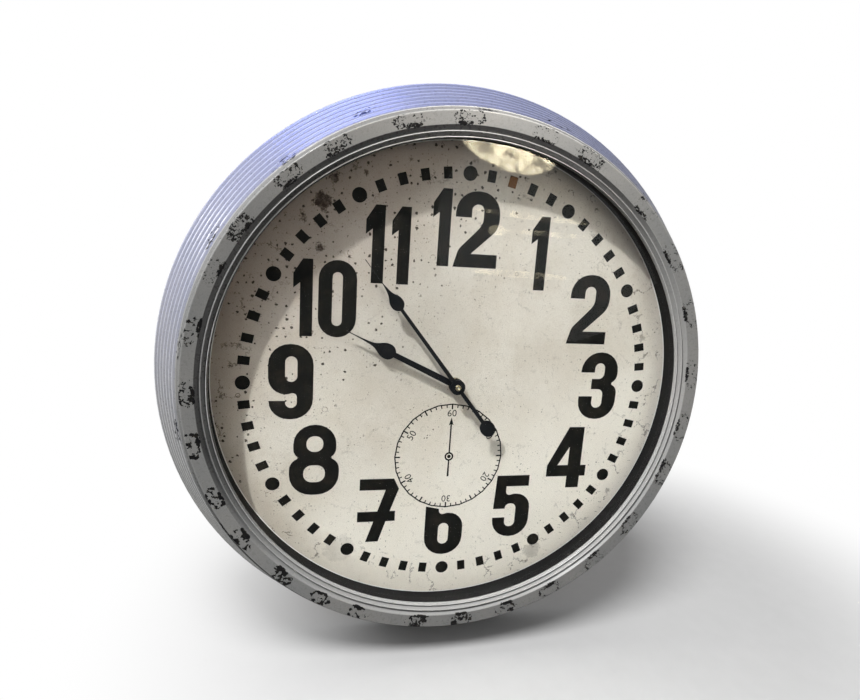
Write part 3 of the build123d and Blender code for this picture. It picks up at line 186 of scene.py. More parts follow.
class Signal:
    """The output of a node, which can be reckoned with like a number."""

    def __init__(self, socket):
        self.socket = socket

    def step(self, operation, second=0.0, third=0.0):
        """One step of arithmetic."""
        return add("Math", {0: self, 1: second, 2: third}, operation=operation)[0]

    def __add__(self, other):
        return self.step("ADD", other)

    def __sub__(self, other):
        return self.step("SUBTRACT", other)

    def __mul__(self, other):
        return self.step("MULTIPLY", other)

    def __truediv__(self, other):
        return self.step("DIVIDE", other)

    def __pow__(self, other):
        return self.step("POWER", other)

    def __neg__(self):
        return self.step("MULTIPLY", -1.0)

    def __abs__(self):
        return self.step("ABSOLUTE")

    def root(self):
        return self.step("SQRT")

    def sine(self):
        return self.step("SINE")

    def cosine(self):
        return self.step("COSINE")

    def floor(self):
        return self.step("FLOOR")

    def at_least(self, other):
        return self.step("MAXIMUM", other)

    def at_most(self, other):
        return self.step("MINIMUM", other)

    def below(self, other):
        return self.step("LESS_THAN", other)

    def grow(self, start, end, low=0.0, high=1.0):
        """A smooth change from low to high while this signal goes from start to end."""
        inputs = {"Value": self, "From Min": start, "From Max": end, "To Min": low, "To Max": high}
        return add("MapRange", inputs, interpolation_type="SMOOTHSTEP")["Result"]

    def blend(self, first, second):
        """Two colours, mixed with this signal as the share of the second."""
        return add("Mix", {0: self, 6: first, 7: second}, data_type="RGBA")[2]

    def between(self, first, second):
        """Two numbers, mixed with this signal as the share of the second."""
        return add("Mix", {0: self, 2: first, 3: second}, data_type="FLOAT")[0]

    def vector(self, operation, second=None, scale=None, output="Vector"):
        """One step of arithmetic with vectors."""
        inputs = {0: self}
        if second is not None:
            inputs[1] = second
        if scale is not None:
            inputs["Scale"] = scale
        return add("VectorMath", inputs, operation=operation)[output]

    def measure(self, operation, second):
        """A number out of two vectors, such as their distance."""
        return self.vector(operation, second, output="Value")

    def noise(self, scale, detail=2.0, roughness=0.5, distortion=0.0, output="Fac"):
        """Soft random values around one half, at this place. Scale is in bumps per unit of the place."""
        inputs = {"Vector": self, "Scale": scale, "Detail": detail, "Roughness": roughness}
        return add("TexNoise", {**inputs, "Distortion": distortion})[output]

    def relief(self, distance, normal=None):
        """A bump of that many metres, on top of another normal if there is one."""
        inputs = {"Height": self, "Distance": distance, "Strength": 1.0}
        if normal is not None:
            inputs["Normal"] = normal
        return add("Bump", inputs)["Normal"]


def span(first, second):
    """The length of a step made of two square steps."""
    return (first * first + second * second).root()


def round_edges(radius):
    """A normal that rounds the sharp edges of a solid a little, as paint and moulds do."""
    return add("Bevel", {"Radius": radius}, samples=4)["Normal"]


def colour(red, green, blue):
    return (red, green, blue, 1.0)


def even(grey):
    """A colour without a tint."""
    return colour(grey, grey, grey)


# %% [markdown]
# ## Where a point of the clock is
# The finishes need to know where they are. Object coordinates are in metres, so they are counted from the dial's
# axis and turned into millimetres. From those come the radius, the turn round the dial, the height above the
# printed face, and the way along the case's skin: outwards over the bezel and then back along the flutes.

# %% Helpers for places


def place_on_clock():
    """Millimetres from the dial's centre, as a vector, and as across, height and up."""
    place = add("TexCoord")["Object"].vector("SUBTRACT", AXIS).vector("SCALE", scale=1000.0)
    parts = add("SeparateXYZ", {0: place})
    return place, parts["X"], -parts["Y"], parts["Z"]


def polar_on_clock(across, up):
    """Radius in millimetres, and the turn clockwise from six, from 0 to 1."""
    return span(across, up), across.step("ARCTAN2", up) * (1 / FULL_TURN) + 0.5


# %% [markdown]
# ## The case paint
# The case is black plastic under grey paint, and the paint is worn through in patches. The patches look dabbed
# on with a torn sponge: every thirteen degrees or so round the bezel sits an oval of small flecks with a
# solid blot at its inner edge. One noise over the whole case would scatter chips evenly, and a painted image would
# need a map of the case. So the pattern is built as it looks. The turn is divided into cells, each cell gets a
# small random shift, and in it an oval decides how likely the paint is to be gone. A noise against that likelihood
# gives ragged flecks. At the lower left it is coarser and the patches are fuller, because the case is most worn
# there. The flutes get fewer and smaller patches by the same rule.

# %% Chips in the paint
SPACING_START = 0.94
HEAVIEST = 0.75
BAND_CHIPS = dict(cells=28.0, phase=0.21, drift=0.512, middle=20.3, spread=1.5, length=16.5, width=7.2, seed=3.0)
FLUTE_CHIPS = dict(cells=18.0, phase=0.55, drift=0.0, middle=57.0, spread=44.0, length=17.0, width=9.0, seed=40.0)
print("patches round the band:", int(BAND_CHIPS["cells"]), "round the flutes:", int(FLUTE_CHIPS["cells"]))


def chip_row(place, turn, radius, along, heavy, cells, phase, drift, middle, spread, length, width, seed):
    """How likely the paint is to be gone, for one row of patches round the case."""
    swing = (turn * FULL_TURN - SPACING_START).sine()
    scaled = swing * drift + turn * cells + phase
    cell = scaled.floor()
    within = scaled - cell - 0.5
    luck = add("TexWhiteNoise", {"W": cell + seed}, noise_dimensions="1D")
    lucks = add("SeparateColor", {0: luck["Color"]})
    shifted = (lucks[0] - 0.5) * 0.25 + within
    cell_length = radius * (FULL_TURN / cells)
    centre = (lucks[1] - 0.5) * spread + middle
    u = shifted * cell_length / length
    v = (along - centre) / width
    oval = span(u, v) + place.noise(0.10, 2.0) * 0.9 - 0.45
    rim = oval.grow(0.40, 0.75) * oval.grow(1.20, 0.90)
    inside = oval.grow(1.1, 0.7)
    blot_u = (lucks[2] - 0.5) * 0.9 + u
    blot_v = v * 2.1 + 1.4
    blot = (blot_u * blot_u + blot_v * blot_v).grow(0.75, 0.05, 0.0, 1.10)
    fill = luck["Value"] * 0.24 + heavy.grow(-0.5, 0.8, 0.36, 0.60)
    rim = rim * heavy.grow(-0.2, 0.8, 0.32, 0.10)
    likely = (rim + inside * fill).at_least(blot)
    return likely * heavy.grow(-1.0, 0.6, 0.94, 1.0)


def chipped(place, turn, radius, along):
    """Where the paint is gone, which is above 0, and the flecks that make the edges ragged."""
    heavy = (turn * FULL_TURN - HEAVIEST).cosine()
    band = chip_row(place, turn, radius, along, heavy, **BAND_CHIPS) * along.grow(13.6, 14.6)
    fine = place.noise(0.42, 3.0, 0.55, 0.7)
    coarse = place.noise(0.24, 3.0, 0.52, 0.4)
    flecks = heavy.grow(0.0, 0.9, 0.0, 0.85).between(fine, coarse)
    gone = flecks + band * 0.36 - 0.79
    flutes = chip_row(place, turn, radius, along, heavy, **FLUTE_CHIPS)
    long_way = add("CombineXYZ", {0: turn * 1900.0 * 0.4, 1: along})[0]
    dashes = long_way.noise(0.48, 2.0, 0.6, 0.3)
    return gone.at_least(dashes + flutes * 0.34 - 0.80), flecks


# %% Grey paint, aged and dirty, with painted shade and painted highlights
OPENING_RADIUS = 256.0
FRONT_HEIGHT = 35.4
BAND_INNER = 268.0
RIDGE_FIRST = 25.0
RIDGE_STEP = 13.3
# Each crest of the moulding, with the strength of its painted highlight.
MOULDING_CRESTS = ((262.1, 0.45), (257.3, 1.0))
MOULDING_HOLLOWS = ((263.5, 267.8), (258.3, 261.6))
MOULDING_LEAN = 1.1


def aged_grey(place, grime, near):
    """The paint itself: cloudy and grimy, with dark flecks and grain, and paler where it is about to chip."""
    clouds = place.noise(0.012, 3.0, 0.6).grow(0.3, 0.7)
    grey = clouds.blend(colour(0.256, 0.259, 0.256), colour(0.298, 0.293, 0.282))
    grey = grime.grow(0.56, 0.8, 0.0, 0.35).blend(grey, colour(0.22, 0.215, 0.205))
    grey = place.noise(1.2, 1.0).grow(0.70, 0.76, 0.0, 0.45).blend(grey, even(0.13))
    grey = place.noise(0.9, 3.0, 0.75).grow(0.32, 0.62, 0.22, 0.0).blend(grey, even(0.12))
    return near.blend(grey, colour(0.42, 0.43, 0.41))


def dirtied(grey, across, up, radius, along):
    """Painted shade towards the bottom and in the upper left hollows and first flute, and paler inside the band."""
    # Painted shade: the paint darkens towards the bottom and lower left of the case, where less light falls.
    low = (across * -0.35 + up).grow(-60.0, -320.0, 0.0, 0.36) * radius.grow(BAND_INNER, BAND_INNER + 0.6)
    grey = low.blend(grey, even(0.10))
    grey = radius.grow(BAND_INNER + 0.6, BAND_INNER, 0.0, 0.16).blend(grey, even(0.80))
    # Painted shade: the moulding's hollows and the first flute darken at the upper left, where they face away from
    # the light.
    upper_left_shade = radius.grow(BAND_INNER + 0.4, BAND_INNER - 0.2) * (up - across).grow(-40.0, 200.0, 0.0, 0.72)
    first_flute = along.grow(25.2, 27.0) * along.grow(38.6, 37.6)
    upper_left_shade = upper_left_shade + first_flute * (across * 0.3 + up).grow(60.0, 270.0, 0.10, 0.62)
    return upper_left_shade.blend(grey, colour(0.045, 0.045, 0.048))


def worn_ridges(grey, radius, along, grime, front):
    """Painted highlights along the ridges and on the moulding's crests, and painted shade in the flutes between."""
    step = (along - RIDGE_FIRST) / RIDGE_STEP
    beside = step.step("PINGPONG", 0.5) * RIDGE_STEP
    # Painted highlight: pale paint along each ridge and on the moulding's crests, broken up by the grime.
    ridge_highlight = beside.grow(1.9, 0.7) * along.grow(23.0, 24.0) * along.grow(26.0, 34.0, 0.10, 0.55)
    for crest, amount in MOULDING_CRESTS:
        ridge_highlight = ridge_highlight.at_least(abs(radius - crest).grow(0.8, 0.4, 0.0, amount) * front)
    grey = (ridge_highlight * grime.grow(0.3, 0.7, 0.95, 0.60)).blend(grey, colour(0.78, 0.78, 0.77))
    # Painted shade: darker paint in the middle of each flute.
    flute_shade = beside.grow(3.5, 6.6, 0.0, 0.22) * along.grow(26.0, 28.0)
    return flute_shade.blend(grey, even(0.16))


def moulding_normal(across, up, radius, front):
    """Leans the normal towards the axis in the hollows, which deepens their curve."""
    lean = None
    for inner, outer in MOULDING_HOLLOWS:
        within = radius.grow(inner, inner + 0.4) * radius.grow(outer, outer - 0.4) * MOULDING_LEAN
        lean = within if lean is None else within + lean
    towards_axis = add("CombineXYZ", {0: across, 2: up})[0].vector("NORMALIZE")
    towards_axis = towards_axis.vector("SCALE", scale=-(lean * front))
    return round_edges(0.9 * MM).vector("ADD", towards_axis).vector("NORMALIZE")


# %% The case's finish


def case_paint():
    material = new_finish("case_paint", roughness=0.3, specular=0.38)
    place, across, height, up = place_on_clock()
    radius, turn = polar_on_clock(across, up)
    along = radius - OPENING_RADIUS + FRONT_HEIGHT - height
    front = height.grow(26.0, 27.0)
    grime = place.noise(0.05, 5.0, 0.7)
    gone, flecks = chipped(place, turn, radius, along)
    bare = gone.grow(-0.003, 0.004)
    grey = aged_grey(place, grime, gone.grow(-0.045, 0.0, 0.0, 0.35))
    # Painted shade and painted highlights go onto the grey paint here.
    grey = dirtied(grey, across, up, radius, along)
    grey = worn_ridges(grey, radius, along, grime, front)
    plastic = flecks.blend(colour(0.002, 0.002, 0.003), colour(0.008, 0.008, 0.010))
    wire(bare.blend(grey, plastic), "Base Color")
    wire(bare * 0.16 + place.noise(0.3, 3.0).grow(0.3, 0.7, 0.26, 0.34), "Roughness")
    surface = place.noise(0.5, 2.0) * 0.10 - bare
    wire(surface.relief(0.12 * MM, moulding_normal(across, up, radius, front)), "Normal")
    return material


def give(material, *names):
    """Puts a finish on the solids of that name."""
    for name in names:
        for place in nodes[name].material_slots:
            place.material = material
    print(material.name, "on", ", ".join(names))


give(case_paint(), "bezel", "case_band")

# %% [markdown]
# ## Glass
# The pane is flat and clear. Light has to pass it to reach the dial, and a shader that bends light would block
# that for a plain lamp. So for the rays that cast shadows the pane is simply transparent. A little dust and a
# few wiped streaks sit on it. Its reflection is kept weak, as on picture glass.

# %% The pane


def window_glass():
    material = new_finish("window_glass")
    tree.nodes.remove(shader)
    place = place_on_clock()[0]
    streaks = place.noise(0.05, 3.0, 0.6, 1.5)
    rough = streaks.grow(0.35, 0.8, 0.0, 0.02)
    pane = add("BsdfGlass", {"Color": colour(0.985, 0.99, 0.985), "Roughness": rough, "IOR": 1.25})[0]
    dust = add("BsdfDiffuse", {"Color": colour(0.5, 0.48, 0.45)})[0]
    dusty = place.noise(1.3, 2.0, 0.7).grow(0.70, 0.78) * 0.05 + streaks.grow(0.5, 0.9, 0.0, 0.012)
    dressed = add("MixShader", {0: dusty, 1: pane, 2: dust})[0]
    clear = add("BsdfTransparent", {"Color": colour(0.97, 0.98, 0.97)})[0]
    whole = add("MixShader", {0: add("LightPath")["Is Shadow Ray"], 1: dressed, 2: clear})[0]
    wire(whole, "Surface", tree.nodes["Material Output"])
    return material


give(window_glass(), "glass")

# %% [markdown]
# ## The dial card
# An off-white card, printed to look old: warm clouds, brown towards the rim, hundreds of specks, a few rings as
# drops of coffee leave them, and larger stains near ten and eleven. The brown at the rim and at the upper left is
# partly painted shade. Left of the middle the card is painted greyer as shade, and towards the lower right it is
# painted paler as light. Specks come from a Voronoi pattern: each cell has a random size for its dot, and most
# cells have none. The same pattern at a larger scale, with a ring instead of a dot, makes the drops.

# %% Specks, stains and cracks


def specks(place, size, share, smallest, largest, edge, space="2D"):
    """Round dots in some of the cells of a Voronoi pattern, from 0 to 1. Sizes are in millimetres."""
    cells = add("TexVoronoi", {"Vector": place, "Scale": 1.0 / size}, voronoi_dimensions=space)
    luck = add("SeparateColor", {0: cells["Color"]})
    distance = cells["Distance"] * size
    reach = luck[1] * (largest - smallest) + smallest
    dot = (reach - distance).grow(0.0, edge)
    return dot * luck[0].below(share), distance, reach, luck


def stain(place, across, up, spot, reach, ragged):
    """A ragged blotch around a spot of the dial, in shares of the dot circle."""
    millimetres = DOT_CIRCLE * 1000
    distance = span(across - spot[0] * millimetres, up - spot[1] * millimetres)
    rough = place.noise(0.14, 5.0, 0.75) * ragged + distance
    return rough.grow(reach + ragged * 0.5 + 1.0, reach + ragged * 0.5 - 1.5)


def flat_place(across, up):
    """The place on the card as a flat vector, for patterns that need no depth."""
    return add("CombineXYZ", {0: across, 1: up})[0]


def crooked(place, scale, detail, wild):
    """A place moved about by noise, so that a pattern on it loses its plain outlines."""
    return place.vector("ADD", place.noise(scale, detail, 0.7, output="Color").vector("SCALE", scale=wild))


def cracks(place, size, width, wild):
    """Thin crooked lines, from 0 to 1: the borders of large Voronoi cells, broken up by noise."""
    inputs = {"Vector": crooked(place, 0.07, 4.0, wild), "Scale": 1.0 / size}
    cells = add("TexVoronoi", inputs, feature="DISTANCE_TO_EDGE", voronoi_dimensions="2D")
    line = (cells["Distance"] * size).grow(width, width * 0.3)
    return line * place.noise(0.045, 3.0, 0.6).grow(0.53, 0.58)


# %% The card's colours
PAPER = colour(0.735, 0.690, 0.625)
AGED = colour(0.640, 0.585, 0.510)
BROWN = colour(0.040, 0.022, 0.015)
SPECK = colour(0.030, 0.020, 0.015)
STAINS = (
    ((-0.66, 0.825), 9.0, 26.0, 1.0),
    ((-0.61, 0.93), 4.0, 34.0, 0.85),
    ((-0.74, 0.76), 3.0, 34.0, 0.75),
    ((-0.665, 0.63), 4.5, 20.0, 1.0),
    ((-0.47, 0.97), 2.0, 26.0, 0.85),
    ((-0.28, 1.04), 1.0, 26.0, 0.80),
    ((-0.86, 0.52), 0.0, 26.0, 0.60),
    ((-0.54, -0.86), 17.0, 34.0, 0.16),
    ((0.50, -0.93), 11.0, 22.0, 0.36),
    ((0.99, 0.26), 4.0, 26.0, 0.45),
    ((0.91, -0.60), 3.0, 28.0, 0.5),
    ((0.80, -0.76), 2.0, 30.0, 0.55),
)
CARD_EDGE = 258.3
print("stains on the card:", len(STAINS))


def old_paper(place, across, up, fine):
    """Paper with clouds, fibres and grit, with painted shade left of the middle and painted light at the lower
    right.
    """
    paper = place.noise(0.011, 4.0, 0.6, 0.3).grow(0.35, 0.68).blend(PAPER, AGED)
    paper = fine.grow(0.50, 0.78, 0.0, 0.42).blend(paper, colour(0.47, 0.40, 0.32))
    paper = place.noise(0.7, 3.0, 0.7).grow(0.30, 0.62, 0.30, 0.0).blend(paper, colour(0.36, 0.30, 0.25))
    # Painted shade: greyer around a spot left of and above the middle.
    left_painted_shade = span(across + 80.0, up - 90.0).grow(150.0, 40.0, 0.0, 0.36)
    paper = left_painted_shade.blend(paper, colour(0.34, 0.315, 0.285))
    # Painted light: paler towards the lower right.
    lower_right_painted_light = (across * 0.5 - up).grow(-10.0, 165.0, 0.0, 0.62)
    return lower_right_painted_light.blend(paper, colour(0.99, 0.94, 0.86))


def card_specks(paper, place, flat, torn, corner):
    """Three sizes of specks. The large ones crowd in the upper left."""
    busy = place.noise(0.02, 2.0).grow(0.36, 0.60, 0.15, 1.0).at_least(corner.grow(150.0, 300.0))
    drift = place.noise(0.055, 3.0, 0.65).grow(0.42, 0.60, 0.25, 1.0)
    small = specks(torn, 3.4, 0.34, 0.15, 0.80, 0.3)[0] * busy * drift
    paper = (small * 0.92).blend(paper, colour(0.040, 0.026, 0.018))
    crowded = corner.grow(60.0, 280.0, -0.12, 0.62) + place.noise(0.06, 3.0, 0.6).grow(0.45, 0.65, 0.0, 0.4)
    large = specks(torn, 7.7, 0.46, 0.3, 1.8, 0.4)[0] * crowded.grow(0.20, 0.5)
    paper = (large * 0.95).blend(paper, SPECK)
    tiny = specks(flat, 2.5, 0.34, 0.05, 0.42, 0.25)[0] * place.noise(0.03, 3.0, 0.65).grow(0.38, 0.58, 0.45, 1.0)
    return (tiny * 0.85).blend(paper, colour(0.07, 0.048, 0.034))


def rim_strokes(paper, torn, across, up, uneven):
    """Short dark strokes near the rim, at the lower right."""
    strokes = specks(torn.vector("MULTIPLY", (0.16, 1.0, 1.0)), 2.6, 0.30, 0.10, 0.42, 0.2)[0]
    strokes = strokes * (across - up * 0.7).grow(200.0, 255.0) * uneven.grow(225.0, 250.0)
    return (strokes * 0.9).blend(paper, colour(0.05, 0.035, 0.025))


def drop_rings(paper, flat, fine, corner):
    """The rings that dried drops leave."""
    _, distance, reach, luck = specks(flat, 24.0, 1.0, 1.4, 3.2, 0.3)
    ring = abs(distance - reach).grow(0.6, 0.2) * luck[2].below(0.06)
    ring = ring * fine.grow(0.38, 0.55) * corner.grow(20.0, 240.0, 0.25, 0.85)
    return ring.blend(paper, colour(0.10, 0.065, 0.045))


# %% The card's finish


def matt_skin(place, smoothest, roughest, depth):
    """Paper fibres, felt in the gloss and in a faint relief."""
    fibres = place.noise(1.4, 3.0, 0.7)
    wire(fibres.grow(0.3, 0.7, smoothest, roughest), "Roughness")
    wire(fibres.relief(depth), "Normal")


def dial_card():
    material = new_finish("dial_card", roughness=0.62, specular=0.25)
    place, across, _, up = place_on_clock()
    radius = span(across, up)
    fine = place.noise(0.12, 5.0, 0.7)
    paper = old_paper(place, across, up, fine)
    uneven = place.noise(0.03, 4.0, 0.65) * 34.0 + radius
    # Browner towards the rim, and less so at the lower right: partly ageing, partly painted shade under the rim.
    edge = uneven.grow(232.0, 276.0) * (across - up).grow(0.0, 240.0, 0.42, 0.18)
    paper = edge.blend(paper, colour(0.33, 0.26, 0.20))
    corner = place.noise(0.02, 3.0, 0.6) * 90.0 + (up - across)
    # Browner towards the upper left: partly the card's ageing, partly painted shade that deepens the rim's shadow
    # there.
    paper = corner.grow(170.0, 390.0, 0.0, 0.60).blend(paper, colour(0.29, 0.215, 0.185))
    flat = flat_place(across, up)
    torn = crooked(flat, 0.45, 2.0, 3.4)
    paper = card_specks(paper, place, flat, torn, corner)
    paper = rim_strokes(paper, torn, across, up, uneven)
    paper = drop_rings(paper, flat, fine, corner)
    lines = cracks(flat, 26.0, 1.0, 30.0) * uneven.grow(215.0, 262.0, 0.25, 1.0)
    paper = (lines * 0.7).blend(paper, colour(0.055, 0.038, 0.028))
    for spot, reach, ragged, depth in STAINS:
        blotch = stain(place, across, up, spot, reach, ragged)
        blotch = blotch * fine.grow(0.34, 0.56, depth * 0.55, depth)
        paper = blotch.blend(paper, BROWN)
    # A pale ring at the card's edge: partly the card's white cut edge, partly painted highlight.
    paper = radius.grow(CARD_EDGE, CARD_EDGE + 0.4, 0.0, 0.9).blend(paper, colour(0.93, 0.92, 0.90))
    wire(paper, "Base Color")
    matt_skin(place, 0.55, 0.7, 0.03 * MM)
    return material


give(dial_card(), "dial_face")

# %% [markdown]
# ## Printing ink
# The print is nearly black. It could be part of the card's finish, but as a finish of its own it stays sharp at
# any distance. Here and there it is rubbed brownish, and one minute mark after twelve has faded to brown.

# %% Ink
FADED_MARK = (0.212, 0.975)


def printing_ink():
    material = new_finish("printing_ink", roughness=0.55, specular=0.12)
    place, across, _, up = place_on_clock()
    rubbed = place.noise(0.05, 4.0, 0.65)
    ink = rubbed.grow(0.42, 0.75).blend(colour(0.006, 0.006, 0.0055), colour(0.017, 0.014, 0.011))
    dust = specks(flat_place(across, up), 7.0, 0.2, 0.15, 0.4, 0.2)[0]
    ink = (dust * 0.25).blend(ink, colour(0.25, 0.22, 0.19))
    faded = stain(place, across, up, FADED_MARK, 7.0, 3.0)
    ink = (faded * 0.9).blend(ink, colour(0.20, 0.085, 0.03))
    wire(ink, "Base Color")
    matt_skin(place, 0.42, 0.6, 0.02 * MM)
    return material


ink_finish = printing_ink()
print("ink:", ink_finish.name)

# %% [markdown]
# ## Drawing flat print
# Each figure is a closed outline with rounded corners, like one cut from card. An outline is a list of corners,
# each with the radius that rounds it. A flat curve fills such outlines and leaves inner ones open, and a little
# extrusion turns the fill into a thin closed sheet. Then it is made a mesh and laid on the card.

# %% Helpers for print
ARC_HANDLE = 4.0 / 3.0


def rounded(corners):
    """Bezier points for a closed outline: (x, y, radius) corners become (left handle, point, right handle)."""
    points = []
    for index, (x, y, radius) in enumerate(corners):
        here = Vector((x, y))
        before = Vector(corners[index - 1][:2]) - here
        after = Vector(corners[(index + 1) % len(corners)][:2]) - here
        if radius <= 0.0:
            points.append((here, here, here))
            continue
        inner = before.angle(after)
        reach = min(radius / math.tan(inner / 2), 0.999 * before.length, 0.999 * after.length)
        radius = reach * math.tan(inner / 2)
        handle = ARC_HANDLE * math.tan((math.pi - inner) / 4) * radius
        start = here + before.normalized() * reach
        end = here + after.normalized() * reach
        points.append((start, start, start - before.normalized() * handle))
        points.append((end - after.normalized() * handle, end, end))
    return points


def print_shape(name, outlines, origin, scale=1.0):
    """A thin sheet of ink from closed outlines, lying on the card with its origin at a spot of the dial."""
    bpy.ops.object.select_all(action="DESELECT")
    bpy.ops.curve.primitive_bezier_curve_add()
    shape = bpy.context.object
    shape.name = name
    shape.data.dimensions = "2D"
    shape.data.fill_mode = "BOTH"
    shape.data.resolution_u = 6
    shape.data.extrude = INK_THICKNESS / 2
    shape.data.splines.clear()
    for outline in outlines:
        spline = shape.data.splines.new("BEZIER")
        points = rounded(outline)
        spline.bezier_points.add(len(points) - 1)
        spline.use_cyclic_u = True
        for made, (left, middle, right) in zip(spline.bezier_points, points):
            made.handle_left_type = made.handle_right_type = "FREE"
            made.co = (*(middle * DOT_CIRCLE * scale), 0.0)
            made.handle_left = (*(left * DOT_CIRCLE * scale), 0.0)
            made.handle_right = (*(right * DOT_CIRCLE * scale), 0.0)
    bpy.ops.object.convert(target="MESH")
    return lay_on_dial(bpy.context.object, origin)


def select_only(*shapes):
    """Selects these shapes and nothing else. The first becomes the active one."""
    bpy.ops.object.select_all(action="DESELECT")
    for shape in shapes:
        shape.select_set(True)
    bpy.context.view_layer.objects.active = shapes[0]


def turn_about(centre, angle):
    """A turn in the plane of the dial, clockwise about a point."""
    return Matrix.Translation(centre) @ Matrix.Rotation(angle, 4, "Y") @ Matrix.Translation(-centre)


def own_copy(shape, move):
    """A copy of a shape with a mesh of its own, moved by a matrix."""
    twin = shape.copy()
    twin.data = shape.data.copy()
    bpy.context.scene.collection.objects.link(twin)
    twin.data.transform(move)
    return twin


def lay_on_dial(shape, origin, turned=0.0):
    """Turns a flat mesh from the XY plane into the dial, clockwise by an angle, and bakes its place in."""
    stand = Matrix.Rotation(math.radians(90.0), 4, "X")
    spot = on_dial(*origin, INK_THICKNESS / 2)
    shape.matrix_world = Matrix.Translation(spot) @ Matrix.Rotation(turned, 4, "Y") @ stand
    select_only(shape)
    bpy.ops.object.transform_apply(location=True, rotation=True, scale=True)
    return shape


def merge(pieces):
    """Joins meshes to one."""
    select_only(*pieces)
    if len(pieces) > 1:
        bpy.ops.object.join()
    return bpy.context.object


def join_pieces(name, pieces, material, body):
    """Joins meshes to one piece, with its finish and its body."""
    whole = merge(pieces)
    whole.name = whole.data.name = name
    whole.data.materials.clear()
    whole.data.materials.append(material)
    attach(whole, body)
    print(name, "faces:", len(whole.data.polygons))
    return whole


# %% [markdown]
# ## The hour figures
# A bold condensed gothic. All strokes are about 0.06 to 0.075 of the dot circle wide and all figures about 0.35
# high. Each outline below is measured from the lower left corner of its own figure.

# %% Outlines of the figures


def box_outline(left, right, high, low, radius=0.0):
    """A rectangle with rounded corners."""
    return [(left, high, radius), (right, high, radius), (right, low, radius), (left, low, radius)]


def circle_outline(radius):
    return box_outline(-radius, radius, radius, -radius, radius)


ONE = [
    (0.042, 0.352, 0), (0.086, 0.352, 0), (0.086, 0.0, 0), (0.030, 0.0, 0),
    (0.030, 0.245, 0), (0.0, 0.220, 0), (0.0, 0.286, 0),
]
TWO = [
    (0.0, 0.230, 0), (0.0, 0.350, 0.1), (0.214, 0.350, 0.1), (0.214, 0.186, 0.1), (0.084, 0.064, 0),
    (0.214, 0.064, 0), (0.214, 0.0, 0), (0.0, 0.0, 0), (0.022, 0.082, 0.07), (0.135, 0.200, 0.07),
    (0.135, 0.291, 0.028), (0.077, 0.291, 0.028), (0.077, 0.230, 0),
]
THREE = [
    (0.0, 0.252, 0), (0.0, 0.360, 0.1), (0.206, 0.360, 0.1), (0.206, 0.214, 0.05), (0.168, 0.194, 0.008),
    (0.211, 0.172, 0.05), (0.211, 0.0, 0.1), (0.0, 0.0, 0.1), (0.0, 0.124, 0), (0.076, 0.124, 0),
    (0.076, 0.062, 0.028), (0.134, 0.062, 0.028), (0.134, 0.163, 0.03), (0.064, 0.163, 0), (0.064, 0.218, 0),
    (0.131, 0.218, 0.03), (0.131, 0.302, 0.027), (0.076, 0.302, 0.027), (0.076, 0.252, 0),
]
FOUR = [
    (0.105, 0.342, 0), (0.191, 0.342, 0), (0.191, 0.128, 0), (0.223, 0.128, 0), (0.223, 0.066, 0),
    (0.191, 0.066, 0), (0.191, 0.0, 0), (0.118, 0.0, 0), (0.118, 0.066, 0), (0.0, 0.066, 0), (0.0, 0.127, 0),
]
FOUR_HOLE = [(0.118, 0.232, 0), (0.118, 0.129, 0), (0.059, 0.129, 0)]
FIVE = [
    (0.009, 0.349, 0), (0.187, 0.349, 0), (0.187, 0.288, 0), (0.064, 0.288, 0), (0.064, 0.226, 0.02),
    (0.100, 0.245, 0.05), (0.202, 0.245, 0.08), (0.202, 0.0, 0.098), (0.0, 0.0, 0.098), (0.0, 0.111, 0),
    (0.068, 0.111, 0), (0.068, 0.058, 0.028), (0.125, 0.058, 0.028), (0.125, 0.190, 0.028), (0.068, 0.190, 0.026),
    (0.064, 0.161, 0), (0.0, 0.161, 0),
]
SIX = [
    (0.0, 0.275, 0), (0.070, 0.259, 0), (0.070, 0.214, 0.02), (0.105, 0.235, 0.05), (0.202, 0.235, 0.08),
    (0.202, 0.0, 0.098), (0.0, 0.0, 0.098),
]
SEVEN = [
    (0.007, 0.342, 0), (0.178, 0.342, 0), (0.205, 0.286, 0), (0.163, 0.166, 0), (0.191, 0.166, 0),
    (0.191, 0.111, 0), (0.145, 0.111, 0), (0.109, 0.0, 0), (0.045, 0.0, 0), (0.082, 0.111, 0), (0.0, 0.111, 0),
    (0.0, 0.166, 0), (0.100, 0.166, 0), (0.138, 0.282, 0), (0.007, 0.282, 0),
]
EIGHT = [
    (0.019, 0.359, 0.098), (0.221, 0.359, 0.098), (0.221, 0.205, 0.06), (0.190, 0.191, 0.006), (0.237, 0.172, 0.06),
    (0.237, 0.0, 0.105), (0.0, 0.0, 0.105), (0.0, 0.172, 0.06), (0.047, 0.191, 0.006), (0.019, 0.205, 0.06),
]
NINE = [
    (0.0, 0.361, 0.098), (0.204, 0.361, 0.098), (0.204, 0.0, 0.098), (0.002, 0.0, 0.098), (0.002, 0.090, 0),
    (0.077, 0.090, 0), (0.077, 0.056, 0.026), (0.130, 0.056, 0.026), (0.130, 0.145, 0.02), (0.094, 0.121, 0.05),
    (0.0, 0.121, 0.08),
]
ZERO = box_outline(0.0, 0.173, 0.355, 0.0, 0.0865)

